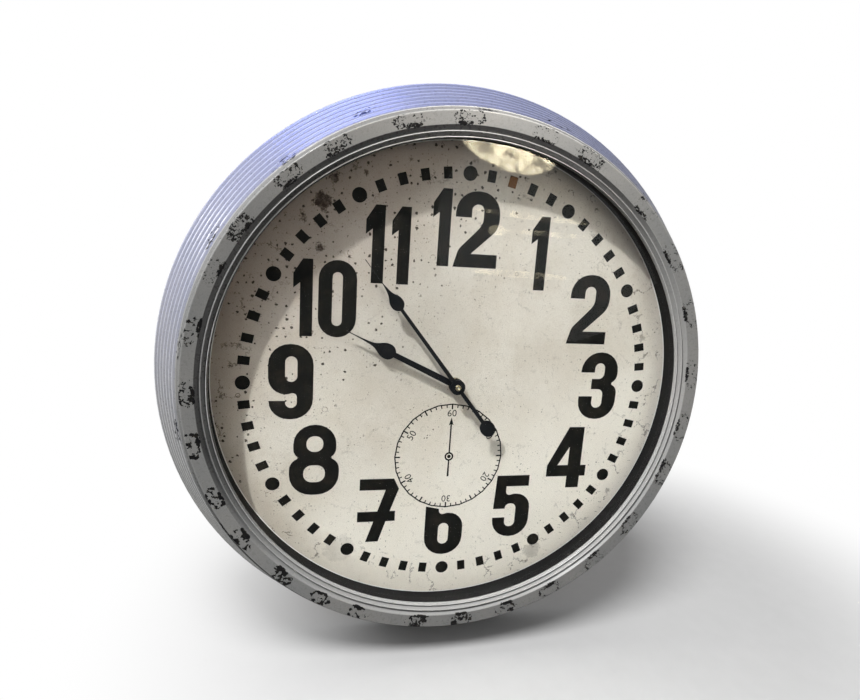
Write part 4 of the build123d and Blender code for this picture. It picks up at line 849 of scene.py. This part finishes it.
# %% The figures on the card
FIGURES = {
    "one": ([ONE], (0.328, 0.481)),
    "two": ([TWO], (0.563, 0.220)),
    "three": ([THREE], (0.669, -0.182)),
    "four": ([FOUR, FOUR_HOLE], (0.536, -0.569)),
    "five": ([FIVE], (0.257, -0.840)),
    "six": ([SIX, box_outline(0.072, 0.127, 0.178, 0.060, 0.0275)], (-0.106, -0.924)),
    "seven": ([SEVEN], (-0.456, -0.832)),
    "eight": (
        [EIGHT, box_outline(0.080, 0.159, 0.301, 0.222, 0.036), box_outline(0.067, 0.170, 0.153, 0.066, 0.04)],
        (-0.790, -0.563),
    ),
    "nine": ([NINE, box_outline(0.076, 0.131, 0.303, 0.182, 0.0275)], (-0.888, -0.176)),
    "ten_left": ([ONE], (-0.781, 0.223)),
    "ten_right": ([ZERO, box_outline(0.062, 0.108, 0.300, 0.054, 0.023)], (-0.670, 0.221)),
    "eleven_left": ([ONE], (-0.466, 0.479)),
    "eleven_right": ([ONE], (-0.348, 0.479)),
    "twelve_left": ([ONE], (-0.162, 0.574)),
    "twelve_right": ([TWO], (-0.055, 0.574)),
}
figures = [print_shape(name, outlines, origin) for name, (outlines, origin) in FIGURES.items()]
join_pieces("hour_figures", figures, ink_finish, "case")

# %% [markdown]
# ## The minute track
# Twelve round dots for the hours and four short bars between each pair, all on one circle. One dot and one bar
# are drawn, and the rest are copies turned about the axis, each with a mesh of its own.

# %% The minute track
DOT_RADIUS = 0.0335
BAR_LONG = 0.053
BAR_WIDE = 0.040


dot = print_shape("hour_dot", [circle_outline(DOT_RADIUS)], (0.0, 1.0))
bar_outline = box_outline(-BAR_WIDE / 2, BAR_WIDE / 2, BAR_LONG / 2, -BAR_LONG / 2)
bar = print_shape("minute_bar", [bar_outline], (0.0, 1.0))
track = []
for minute in range(60):
    pattern = dot if minute % 5 == 0 else bar
    track.append(own_copy(pattern, turn_about(AXIS, math.radians(6.0 * minute))))
bpy.data.objects.remove(dot)
bpy.data.objects.remove(bar)
join_pieces("minute_track", track, ink_finish, "case")

# %% [markdown]
# ## The printed seconds dial
# Under the middle lies a small dial that is only print: a thin ring, sixty ticks inside it, small figures, and a
# thin hand that points up for ever. Thin rings are two circles, one inside the other. The small figures are text,
# which is made a mesh before it is laid down.

# %% The printed seconds dial
SECONDS_CENTRE = (-0.004, -0.378)
SECONDS_RING = 0.280


def seconds_tick(second):
    """One tick inside the ring. Every fifth is longer."""
    inner = SECONDS_RING - (0.030 if second % 5 == 0 else 0.022)
    half = 0.0036 if second % 5 == 0 else 0.0028
    return [box_outline(-half, half, SECONDS_RING - 0.003, inner)]


def small_figure(text, angle):
    """A small figure at an angle of the seconds dial, its foot towards the middle."""
    bpy.ops.object.select_all(action="DESELECT")
    bpy.ops.object.text_add()
    figure = bpy.context.object
    figure.data.body = text
    figure.data.size = 0.050 * DOT_CIRCLE
    figure.data.align_x = "CENTER"
    figure.data.align_y = "CENTER"
    figure.data.extrude = INK_THICKNESS / 2
    figure.data.resolution_u = 3
    bpy.ops.object.convert(target="MESH")
    radius = SECONDS_RING - 0.052
    spot = (SECONDS_CENTRE[0] + radius * math.sin(angle), SECONDS_CENTRE[1] + radius * math.cos(angle))
    return lay_on_dial(bpy.context.object, spot, angle)


ring_outlines = [circle_outline(SECONDS_RING), circle_outline(SECONDS_RING - 0.0065)]
seconds_print = [
    print_shape("seconds_ring", ring_outlines, SECONDS_CENTRE),
    print_shape("seconds_hub", [circle_outline(0.023), circle_outline(0.0145)], SECONDS_CENTRE),
    print_shape("seconds_pin", [circle_outline(0.0095)], SECONDS_CENTRE),
]
for second in range(60):
    tick = print_shape("tick", seconds_tick(second), SECONDS_CENTRE)
    tick.data.transform(turn_about(on_dial(*SECONDS_CENTRE), math.radians(6.0 * second)))
    seconds_print.append(tick)
for tens in range(6):
    seconds_print.append(small_figure(str(tens * 10 or 60), math.radians(60.0 * tens)))
hand_up = [
    (-0.0038, 0.020, 0), (-0.0038, 0.172, 0), (-0.012, 0.166, 0), (0.0, 0.208, 0), (0.012, 0.166, 0),
    (0.0038, 0.172, 0), (0.0038, 0.020, 0),
]
hand_down = [(-0.0036, -0.020, 0), (0.0036, -0.020, 0), (0.0050, -0.108, 0), (-0.0050, -0.108, 0)]
seconds_print.append(print_shape("seconds_hand_up", [hand_up], SECONDS_CENTRE))
seconds_print.append(print_shape("seconds_hand_down", [hand_down], SECONDS_CENTRE))
join_pieces("seconds_print", seconds_print, ink_finish, "case")

# %% [markdown]
# ## Hands, reveal and brass
# The hands are black painted sheet, satin and with a trace of dust. The wall between glass and dial is black
# moulded plastic. Both are dark finishes that differ in gloss and grain, so one function makes them. The nut, the
# bushing and the washers are turned brass, so their fine lines run round the axis.

# %% Black paint, black plastic, brass


def black_finish(name, base, dusty, roughness, grain, depth, bending):
    """A dark painted or moulded finish with fine grain and a trace of dust. Less bending, less mirror."""
    material = new_finish(name)
    shader.inputs["IOR"].default_value = bending
    place = place_on_clock()[0]
    cloud = place.noise(0.06, 4.0, 0.65)
    fine = place.noise(grain, 2.0, 0.6)
    skin = cloud.grow(0.35, 0.8).blend(base, dusty)
    grains = specks(place, 6.0, 0.16, 0.12, 0.35, 0.15, "3D")[0]
    skin = (grains * 0.3).blend(skin, colour(0.20, 0.19, 0.18))
    wire(skin, "Base Color")
    wire(cloud.grow(0.3, 0.7, roughness - 0.06, roughness + 0.08), "Roughness")
    wire(fine.relief(depth, round_edges(0.15 * MM)), "Normal")
    return material


def turned_brass():
    material = new_finish("turned_brass", roughness=0.25, metallic=1.0)
    place, across, _, up = place_on_clock()
    lines = add("TexNoise", {"W": span(across, up) * 9.0, "Detail": 2.0}, noise_dimensions="1D")
    tarnish = place.noise(0.5, 3.0, 0.6)
    skin = tarnish.grow(0.4, 0.75).blend(colour(0.66, 0.57, 0.38), colour(0.42, 0.35, 0.22))
    wire(skin, "Base Color")
    wire(tarnish.grow(0.3, 0.8, 0.2, 0.42), "Roughness")
    wire(lines["Fac"].relief(0.01 * MM, round_edges(0.1 * MM)), "Normal")
    return material


give(
    black_finish(
        "hand_black", colour(0.004, 0.005, 0.007), colour(0.008, 0.008, 0.010),
        roughness=0.42, grain=1.5, depth=0.01 * MM, bending=1.3,
    ),
    "hour_hand", "minute_hand",
)
give(
    black_finish(
        "black_plastic", colour(0.004, 0.004, 0.0045), colour(0.009, 0.0085, 0.009),
        roughness=0.4, grain=1.0, depth=0.01 * MM, bending=1.17,
    ),
    "reveal_ring",
)
give(turned_brass(), "hand_nut", "threaded_bushing", "brass_washer", "fixing_nut", "minute_pipe")

# %% [markdown]
# ## Everything behind the dial
# The back is plain work: brown hardboard with the mesh of its press on the rough side, zinc-plated steel, a black
# moulded movement and a bare cell. Inside turn wheels of natural acetal. Each gets the grain of what it is.

# %% Hardboard
MESH_STEP = 1.6


def hardboard():
    material = new_finish("hardboard", roughness=0.75, specular=0.25)
    place, across, _, up = place_on_clock()
    fibres = place.noise(0.5, 5.0, 0.75)
    clouds = place.noise(0.02, 4.0, 0.6)
    board = clouds.grow(0.3, 0.7).blend(colour(0.19, 0.105, 0.052), colour(0.26, 0.155, 0.08))
    board = fibres.grow(0.35, 0.75).blend(board, colour(0.11, 0.058, 0.028))
    wire(board, "Base Color")
    mesh = (across * (FULL_TURN / MESH_STEP)).sine() * (up * (FULL_TURN / MESH_STEP)).sine()
    surface = mesh * 0.25 + fibres
    wire(fibres.grow(0.3, 0.7, 0.68, 0.85), "Roughness")
    wire(surface.relief(0.12 * MM, round_edges(0.3 * MM)), "Normal")
    return material


give(hardboard(), "dial_board", "back_panel")

# %% Bare metals


def bare_metal(name, bright, dull, roughness, stretch, depth=0.01 * MM):
    """A metal with a grain: stretch gives how long the grain is along each axis."""
    material = new_finish(name, metallic=1.0)
    place = place_on_clock()[0]
    grain = place.vector("MULTIPLY", stretch).noise(1.0, 3.0, 0.6)
    bloom = place.noise(0.12, 4.0, 0.6)
    skin = bloom.grow(0.35, 0.75).blend(bright, dull)
    wire(skin, "Base Color")
    wire((bloom - 0.5) * 0.25 + roughness, "Roughness")
    wire(grain.relief(depth, round_edges(0.2 * MM)), "Normal")
    return material


zinc = bare_metal("zinc_steel", colour(0.62, 0.63, 0.65), colour(0.44, 0.45, 0.43), 0.36, (0.25, 3.0, 3.0))
rivet_metal = bare_metal(
    "rivet_aluminium", colour(0.78, 0.78, 0.79), colour(0.60, 0.60, 0.61), 0.32, (2.0, 2.0, 2.0)
)
screw_metal = bare_metal(
    "screw_steel", colour(0.60, 0.60, 0.62), colour(0.42, 0.42, 0.41), 0.3, (2.5, 2.5, 2.5)
)
spring_metal = bare_metal(
    "contact_metal", colour(0.70, 0.70, 0.69), colour(0.55, 0.54, 0.51), 0.22, (0.4, 4.0, 4.0)
)
ferrite = bare_metal(
    "magnet", colour(0.11, 0.11, 0.12), colour(0.07, 0.07, 0.075), 0.5, (3.0, 3.0, 3.0), 0.03 * MM
)
give(zinc, "hanger_plate", "stator")
give(rivet_metal, "hanger_rivets")
give(screw_metal, "bezel_screws", "dial_screws", "panel_screws", "train_screws")
give(spring_metal, "positive_contact", "negative_contact")
give(ferrite, "rotor_magnet")

# %% Moulded plastics and rubber


def moulded(name, base, shade, roughness, grain, depth, specular=0.45, glow=0.0):
    """A moulded plastic: fine spark-eroded grain, slight clouding, softened edges."""
    material = new_finish(name, specular=specular)
    place = place_on_clock()[0]
    cloud = place.noise(0.15, 3.0, 0.6)
    fine = place.noise(grain, 3.0, 0.6)
    skin = cloud.grow(0.35, 0.7).blend(base, shade)
    wire(skin, "Base Color")
    wire(fine.grow(0.3, 0.7, roughness - 0.05, roughness + 0.07), "Roughness")
    shader.inputs["Subsurface Weight"].default_value = glow
    shader.inputs["Subsurface Radius"].default_value = (0.8 * MM, 0.7 * MM, 0.55 * MM)
    wire(fine.relief(depth, round_edges(0.15 * MM)), "Normal")
    return material


movement_plastic = moulded(
    "movement_plastic", colour(0.016, 0.016, 0.017), colour(0.024, 0.024, 0.025), 0.45, 2.5, 0.02 * MM
)
knob_plastic = moulded("knob_plastic", colour(0.045, 0.045, 0.048), colour(0.06, 0.06, 0.062), 0.4, 2.0, 0.015 * MM)
acetal = moulded(
    "gear_plastic", colour(0.80, 0.79, 0.74), colour(0.72, 0.71, 0.66), 0.33, 3.0, 0.005 * MM,
    specular=0.5, glow=0.2,
)
rubber = moulded(
    "gasket_rubber", even(0.014), colour(0.022, 0.021, 0.020), 0.7, 1.5, 0.03 * MM, specular=0.25
)
give(movement_plastic, "movement_case", "movement_cover")
give(knob_plastic, "setting_knob")
give(
    acetal, "hour_wheel", "motion_wheel", "centre_wheel", "third_wheel", "seconds_wheel", "fifth_wheel",
    "rotor_pinion", "setting_shaft", "train_plate",
)
give(rubber, "glass_gasket", "rubber_washer")

# %% [markdown]
# ## Coil, circuit board and cell
# The coil is enamelled copper wire, so thin turns run round its core. The board is green laminate with paler
# tracks under its varnish. The cell has a dark jacket and a copper-coloured band at one end, and no words.

# %% Coil, circuit board and cell


def wound_copper():
    material = new_finish("coil_copper", roughness=0.35, metallic=0.85)
    place = place_on_clock()[0]
    inputs = {"Vector": place, "Scale": 2.2, "Distortion": 0.4, "Detail": 1.0}
    turns = add("TexWave", inputs, bands_direction="X")["Fac"]
    skin = turns.blend(colour(0.30, 0.09, 0.03), colour(0.62, 0.25, 0.10))
    wire(skin, "Base Color")
    wire(turns.relief(0.06 * MM), "Normal")
    return material


def green_laminate():
    material = new_finish("circuit_board", roughness=0.3)
    place = place_on_clock()[0]
    inputs = {"Vector": place, "Scale": 0.45, "Randomness": 0.6}
    cells = add("TexVoronoi", inputs, feature="DISTANCE_TO_EDGE")
    tracks = cells["Distance"].grow(0.12, 0.09)
    weave = place.noise(3.0, 2.0)
    skin = tracks.blend(colour(0.012, 0.085, 0.035), colour(0.03, 0.16, 0.06))
    skin = weave.grow(0.5, 0.8, 0.0, 0.2).blend(skin, colour(0.10, 0.16, 0.08))
    wire(skin, "Base Color")
    wire(tracks.relief(0.03 * MM), "Normal")
    return material


def cell_jacket():
    material = new_finish("battery_jacket", roughness=0.28, specular=0.5)
    place, across, _, _ = place_on_clock()
    low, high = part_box("battery_cell")
    ends = (low.x - AXIS.x) / MM, (high.x - AXIS.x) / MM
    band = across.grow(ends[1] - 13.2, ends[1] - 13.0)
    bare = across.grow(ends[1] - 1.6, ends[1] - 1.4).at_least(across.grow(ends[0] + 0.6, ends[0] + 0.4))
    scuff = place.noise(0.8, 4.0, 0.7)
    skin = band.blend(colour(0.012, 0.012, 0.014), colour(0.42, 0.20, 0.08))
    skin = bare.blend(skin, colour(0.62, 0.61, 0.58))
    skin = scuff.grow(0.62, 0.8, 0.0, 0.4).blend(skin, colour(0.2, 0.2, 0.2))
    wire(skin, "Base Color")
    wire(bare.at_least(band * 0.7), "Metallic")
    wire(scuff.relief(0.01 * MM), "Normal")
    return material


give(wound_copper(), "drive_coil")
give(green_laminate(), "circuit_board")
give(cell_jacket(), "battery_cell")

# %% [markdown]
# ## Heads of the fasteners
# CAD keeps screws and rivets plain. On the back they are seen, so they get their true heads: a pan head with a
# cross recess for the six screws of the back, and a low dome for the four rivets of the hanger. One of each is
# modelled from a cylinder, and the others are copies of it, each with its own mesh.

# %% Helpers for fasteners
HEAD_RADIUS = 3.2 * MM
HEAD_HEIGHT = 2.0 * MM
SHANK_RADIUS = 1.5 * MM
RECESS_LENGTH = 3.4 * MM
RECESS_WIDTH = 0.75 * MM
RECESS_DEPTH = 1.1 * MM
RIVET_HEAD = 3.5 * MM
RIVET_RISE = 1.2 * MM


def cylinder_along_y(radius, front, rear, middle=(0.0, 0.0)):
    """A closed cylinder from one height to another, behind the dial."""
    bpy.ops.object.select_all(action="DESELECT")
    spot = (middle[0], (front + rear) / 2, middle[1])
    bpy.ops.mesh.primitive_cylinder_add(
        vertices=32, radius=radius, depth=rear - front, location=spot, rotation=(math.radians(90.0), 0.0, 0.0)
    )
    bpy.ops.object.transform_apply(location=True, rotation=True, scale=True)
    return bpy.context.object


def round_rim(shape, height, offset, steps):
    """Bevels the rim of a cylinder that lies at one height."""
    select_only(shape)
    bpy.ops.object.mode_set(mode="EDIT")
    bpy.ops.mesh.select_all(action="DESELECT")
    bpy.ops.object.mode_set(mode="OBJECT")
    for edge in shape.data.edges:
        edge.select = all(abs(shape.data.vertices[v].co.y - height) < 1e-6 for v in edge.vertices)
    bpy.ops.object.mode_set(mode="EDIT")
    bpy.ops.mesh.select_mode(type="EDGE")
    bpy.ops.mesh.bevel(offset=offset, segments=steps, profile=0.5)
    bpy.ops.object.mode_set(mode="OBJECT")


def cut_away(shape, centre, size):
    """Takes a box out of a shape."""
    bpy.ops.object.select_all(action="DESELECT")
    bpy.ops.mesh.primitive_cube_add(size=1.0, location=centre, scale=size)
    tool = bpy.context.object
    select_only(shape)
    cut = shape.modifiers.new("recess", "BOOLEAN")
    cut.operation = "DIFFERENCE"
    cut.object = tool
    bpy.ops.object.modifier_apply(modifier=cut.name)
    bpy.data.objects.remove(tool)


def copy_to(shape, across, up, turned=0.0):
    """A copy with its own mesh, moved within the plane of the dial."""
    return own_copy(shape, Matrix.Translation((across, 0.0, up)) @ Matrix.Rotation(turned, 4, "Y"))


# %% Six screws of the back
screw_low, screw_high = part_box("panel_screws")
screw_circle = (screw_high.z - screw_low.z) / 2 - HEAD_RADIUS
head_front = screw_high.y - HEAD_HEIGHT
screw = cylinder_along_y(HEAD_RADIUS, head_front, screw_high.y)
round_rim(screw, screw_high.y, 0.9 * MM, 4)
for size in ((RECESS_LENGTH, 2 * RECESS_DEPTH, RECESS_WIDTH), (RECESS_WIDTH, 2 * RECESS_DEPTH, RECESS_LENGTH)):
    cut_away(screw, (0.0, screw_high.y, 0.0), size)
shank = cylinder_along_y(SHANK_RADIUS, screw_low.y, head_front + 0.2 * MM)
screw = merge([screw, shank])
screws = []
for place in range(6):
    angle = math.radians(60.0 * place)
    across, up = screw_circle * math.sin(angle), AXIS.z + screw_circle * math.cos(angle)
    screws.append(copy_to(screw, across, up, math.radians(37.0 * place)))
bpy.data.objects.remove(screw)
back_screws = join_pieces("back_screws", screws, screw_metal, "case")
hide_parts("panel_screws")

# %% Four rivets of the hanger
rivet_low, rivet_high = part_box("hanger_rivets")
rivet = cylinder_along_y(RIVET_HEAD, rivet_high.y - RIVET_RISE, rivet_high.y)
round_rim(rivet, rivet_high.y, 1.1 * MM, 5)
stem = cylinder_along_y(2.0 * MM, rivet_low.y + 0.5 * MM, rivet_high.y - 0.5 * MM)
inner_head = cylinder_along_y(RIVET_HEAD, rivet_low.y, rivet_low.y + RIVET_RISE)
round_rim(inner_head, rivet_low.y, 1.1 * MM, 5)
rivet = merge([rivet, stem, inner_head])
half_across = (rivet_high.x - rivet_low.x) / 2 - RIVET_HEAD
rivets = [
    copy_to(rivet, across, up)
    for across in (-half_across, half_across)
    for up in (rivet_low.z + RIVET_HEAD, rivet_high.z - RIVET_HEAD)
]
bpy.data.objects.remove(rivet)
hanger_heads = join_pieces("rivet_heads", rivets, rivet_metal, "case")
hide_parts("hanger_rivets")
print("screw circle", round(screw_circle, 4), "rivets at", round(half_across, 4))

# %% [markdown]
# ## The floor
# The clock stands on a plain pale floor. Near it the floor is lit and takes its shadow, and further out it turns
# into the white of the background, so that no horizon shows. For rays that come from the clock and not from the
# camera the floor is nearly black. A pale one would throw light up onto the dial and fill the rim's shade.

# %% The floor
FLOOR_HALF = 6.0
SHADE_SHIFT = Vector((0.22, 0.08, 0.0))
SHADE_NEAR = 0.25
SHADE_FAR = 0.65
clock_low, clock_high = (Vector(corner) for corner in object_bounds())
floor_middle = Vector((0.0, (clock_low.y + clock_high.y) / 2, clock_low.z - 0.5 * MM))
bpy.ops.object.select_all(action="DESELECT")
bpy.ops.mesh.primitive_plane_add(size=2 * FLOOR_HALF, location=floor_middle)
floor = bpy.context.object
floor.name = "studio_floor"
bpy.ops.object.transform_apply(location=True, rotation=True, scale=True)


def floor_finish():
    material = new_finish("studio_floor", roughness=0.8, specular=0.1)
    place = add("TexCoord")["Object"]
    away = place.measure("DISTANCE", floor_middle + SHADE_SHIFT)
    behind = add("SeparateXYZ", {0: place})["Y"].grow(0.0, 0.6)
    rays = add("LightPath")
    camera_rays = rays["Is Camera Ray"]
    pale = place.noise(40.0, 3.0).blend(even(0.60), even(0.64))
    wire(camera_rays.blend(even(0.045), pale), "Base Color")
    clear = rays["Is Glossy Ray"].at_least(rays["Is Transmission Ray"] * rays["Diffuse Depth"].below(0.5))
    clear = clear * (rays["Is Glossy Ray"] * -0.7 + 1.0)
    far = camera_rays.at_least(clear * behind) * away.grow(SHADE_NEAR, SHADE_FAR)
    white = add("Emission", {"Color": even(1.0), "Strength": 1.0})[0]
    mixed = add("MixShader", {0: far, 1: shader.outputs[0], 2: white})[0]
    wire(mixed, "Surface", tree.nodes["Material Output"])
    return material


floor.data.materials.append(floor_finish())
floor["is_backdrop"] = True
print("floor at", round(floor_middle.z, 4))

# %% [markdown]
# ## The room
# A white backdrop stands behind the clock, and the room in front of it is dim, as in a studio. So rays that see
# the background find white, and what the glass mirrors from the front is dark, which keeps the print black. In
# that dim room hang a warm lit area, broken up like glitter, and some thin bright streaks, and the pane mirrors
# them at its upper right. They are seen by mirrored rays alone and light nothing. The room's own soft light comes
# more from the upper left than from below.

# %% Lit areas in the room
SHOP_LIGHTS = (
    (0.336, 0.192, 0.100, 0.050, 0.28, 48.0),
    (0.416, 0.172, 0.014, 0.012, 0.0, 60.0),
    (0.400, 0.060, 0.120, 0.006, 0.05, 4.0),
    (0.430, 0.030, 0.090, 0.005, 0.02, 3.5),
    (0.380, -0.050, 0.110, 0.007, 0.03, 3.0),
    (0.330, 0.030, 0.020, 0.010, 0.0, 4.0),
)


def lit_areas(heading, toward):
    """The shop's lights, as rounded boxes: middle across and up, half of each side, tilt and power."""
    into_room = toward["Y"].at_most(-0.05)
    seen_across = toward["X"] / -into_room
    seen_up = toward["Z"] / -into_room
    shop = None
    for middle_across, middle_up, half_across, half_up, tilt, power in SHOP_LIGHTS:
        dx = seen_across - middle_across
        dz = seen_up - middle_up
        along = dz * -math.sin(tilt) + dx * math.cos(tilt)
        over = dz * math.cos(tilt) + dx * math.sin(tilt)
        box = abs(along / half_across) ** 2.0 + abs(over / half_up) ** 2.0
        patch = box.grow(1.15, 0.75, 0.0, power)
        shop = patch if shop is None else shop + patch
    return shop * heading.noise(34.0, 5.0, 0.7).grow(0.42, 0.60, 0.20, 1.7)


# %% The room
world = bpy.data.worlds.new("white_room")
bpy.context.scene.world = world
open_network(world)
heading = add("TexCoord")["Generated"]
toward = add("SeparateXYZ", {0: heading})
rays = add("LightPath")
mirrored_rays = rays["Is Glossy Ray"]
clear_rays = mirrored_rays.at_least(rays["Is Transmission Ray"] * rays["Diffuse Depth"].below(0.5))
backdrop = toward["Y"].grow(-0.15, 0.25, 0.07, 1.0)
dim_below = toward["Z"].grow(-0.5, 0.15, 0.25, 1.0) * toward["Y"].grow(-0.15, 0.25, 1.0, 0.32)
shop = lit_areas(heading, toward) * mirrored_rays
mirrored = backdrop * mirrored_rays.between(1.0, dim_below) + shop
soft_light = heading.measure("DOT_PRODUCT", (-0.45, -0.35, 0.82)).grow(-0.35, 0.95, 0.03, 0.50)
strength = clear_rays.between(soft_light, mirrored)
back = tree.nodes["Background"]
wire(shop.grow(0.0, 1.0).blend(even(1.0), colour(1.0, 0.87, 0.60)), "Color", back)
wire(rays["Is Camera Ray"].between(strength, 1.0), "Strength", back)
print("lit areas in the room:", len(SHOP_LIGHTS))

# %% [markdown]
# ## The lamps
# The main lamp stands high on the left and a little in front, and its light grazes the dial. That is what lays the
# shade of the rim over the figures from eight to twelve. It is small, because that shade has a clear edge. The
# floor would get a hard shadow from it, and the flutes would look flat, so both are left out of its light. The
# floor takes its light from a wide lamp, the back and the case's right side have a wide lamp each, and the flutes
# take theirs from one further in front, which draws each ridge. A blue lamp from above gives the case's top its
# cool cast, a very small one brightens the top of the bezel, and a weak one in front fills in.

# %% The lamps
WHITE_LIGHT = (1.0, 1.0, 1.0)
bezel, case_band = nodes["bezel"], nodes["case_band"]


def aim_lamp(name, towards, distance, size, power, tint=WHITE_LIGHT, target=AXIS, length=None, mirrored=True):
    """A lamp whose light travels to a point in a direction given as across, up and out of the dial."""
    direction = from_dial(towards).normalized()
    data = bpy.data.lights.new(name, "AREA")
    data.shape = "ELLIPSE"
    data.size = size
    data.size_y = length or size
    data.energy = power
    data.color = tint
    made = bpy.data.objects.new(name, data)
    made.visible_glossy = mirrored
    bpy.context.scene.collection.objects.link(made)
    aim = direction.to_track_quat("-Z", "Y").to_matrix().to_4x4()
    made.matrix_world = Matrix.Translation(target - direction * distance) @ aim
    return made


def light_only(source, *pieces, state="INCLUDE"):
    """Lets a lamp light these pieces and nothing else."""
    receivers = bpy.data.collections.new(source.name + "_receivers")
    source.light_linking.receiver_collection = receivers
    for piece in pieces:
        receivers.objects.link(piece)
    for link in receivers.collection_objects:
        link.light_linking.link_state = state
    print(source.name, state.lower() + "s", ", ".join(piece.name for piece in pieces))


def light_all_but(source, *pieces):
    """Lets a lamp light all but these pieces."""
    light_only(source, *pieces, state="EXCLUDE")


light_all_but(aim_lamp("main_lamp", (0.172, -0.28, -0.128), 2.2, 0.08, 58.0), floor, case_band)
light_only(aim_lamp("floor_lamp", (0.06, -0.28, -0.125), 2.2, 0.9, 50.0), floor)
light_all_but(aim_lamp("back_lamp", (0.30, -0.40, 0.87), 2.6, 1.6, 26.0), floor)
light_only(aim_lamp("right_lamp", (-1.0, -0.15, 0.25), 2.6, 1.6, 30.0, mirrored=False), case_band, bezel)
light_all_but(aim_lamp("front_lamp", (-0.42, -0.10, -0.9), 2.4, 1.2, 4.0, mirrored=False), bezel)
light_only(aim_lamp("flute_lamp", (0.85, -0.42, -0.35), 2.2, 0.5, 40.0), case_band)
light_only(aim_lamp("cool_lamp", (0.40, -1.0, 0.0), 1.5, 0.4, 28.0, (0.24, 0.32, 1.0), length=0.9), case_band)
top_spot = on_dial(0.14, 1.21, 0.034)
top_lamp = aim_lamp("top_lamp", (0.0, -0.7, -0.71), 0.20, 0.05, 0.9, (1.0, 0.96, 0.90), top_spot, mirrored=False)
light_only(top_lamp, bezel)
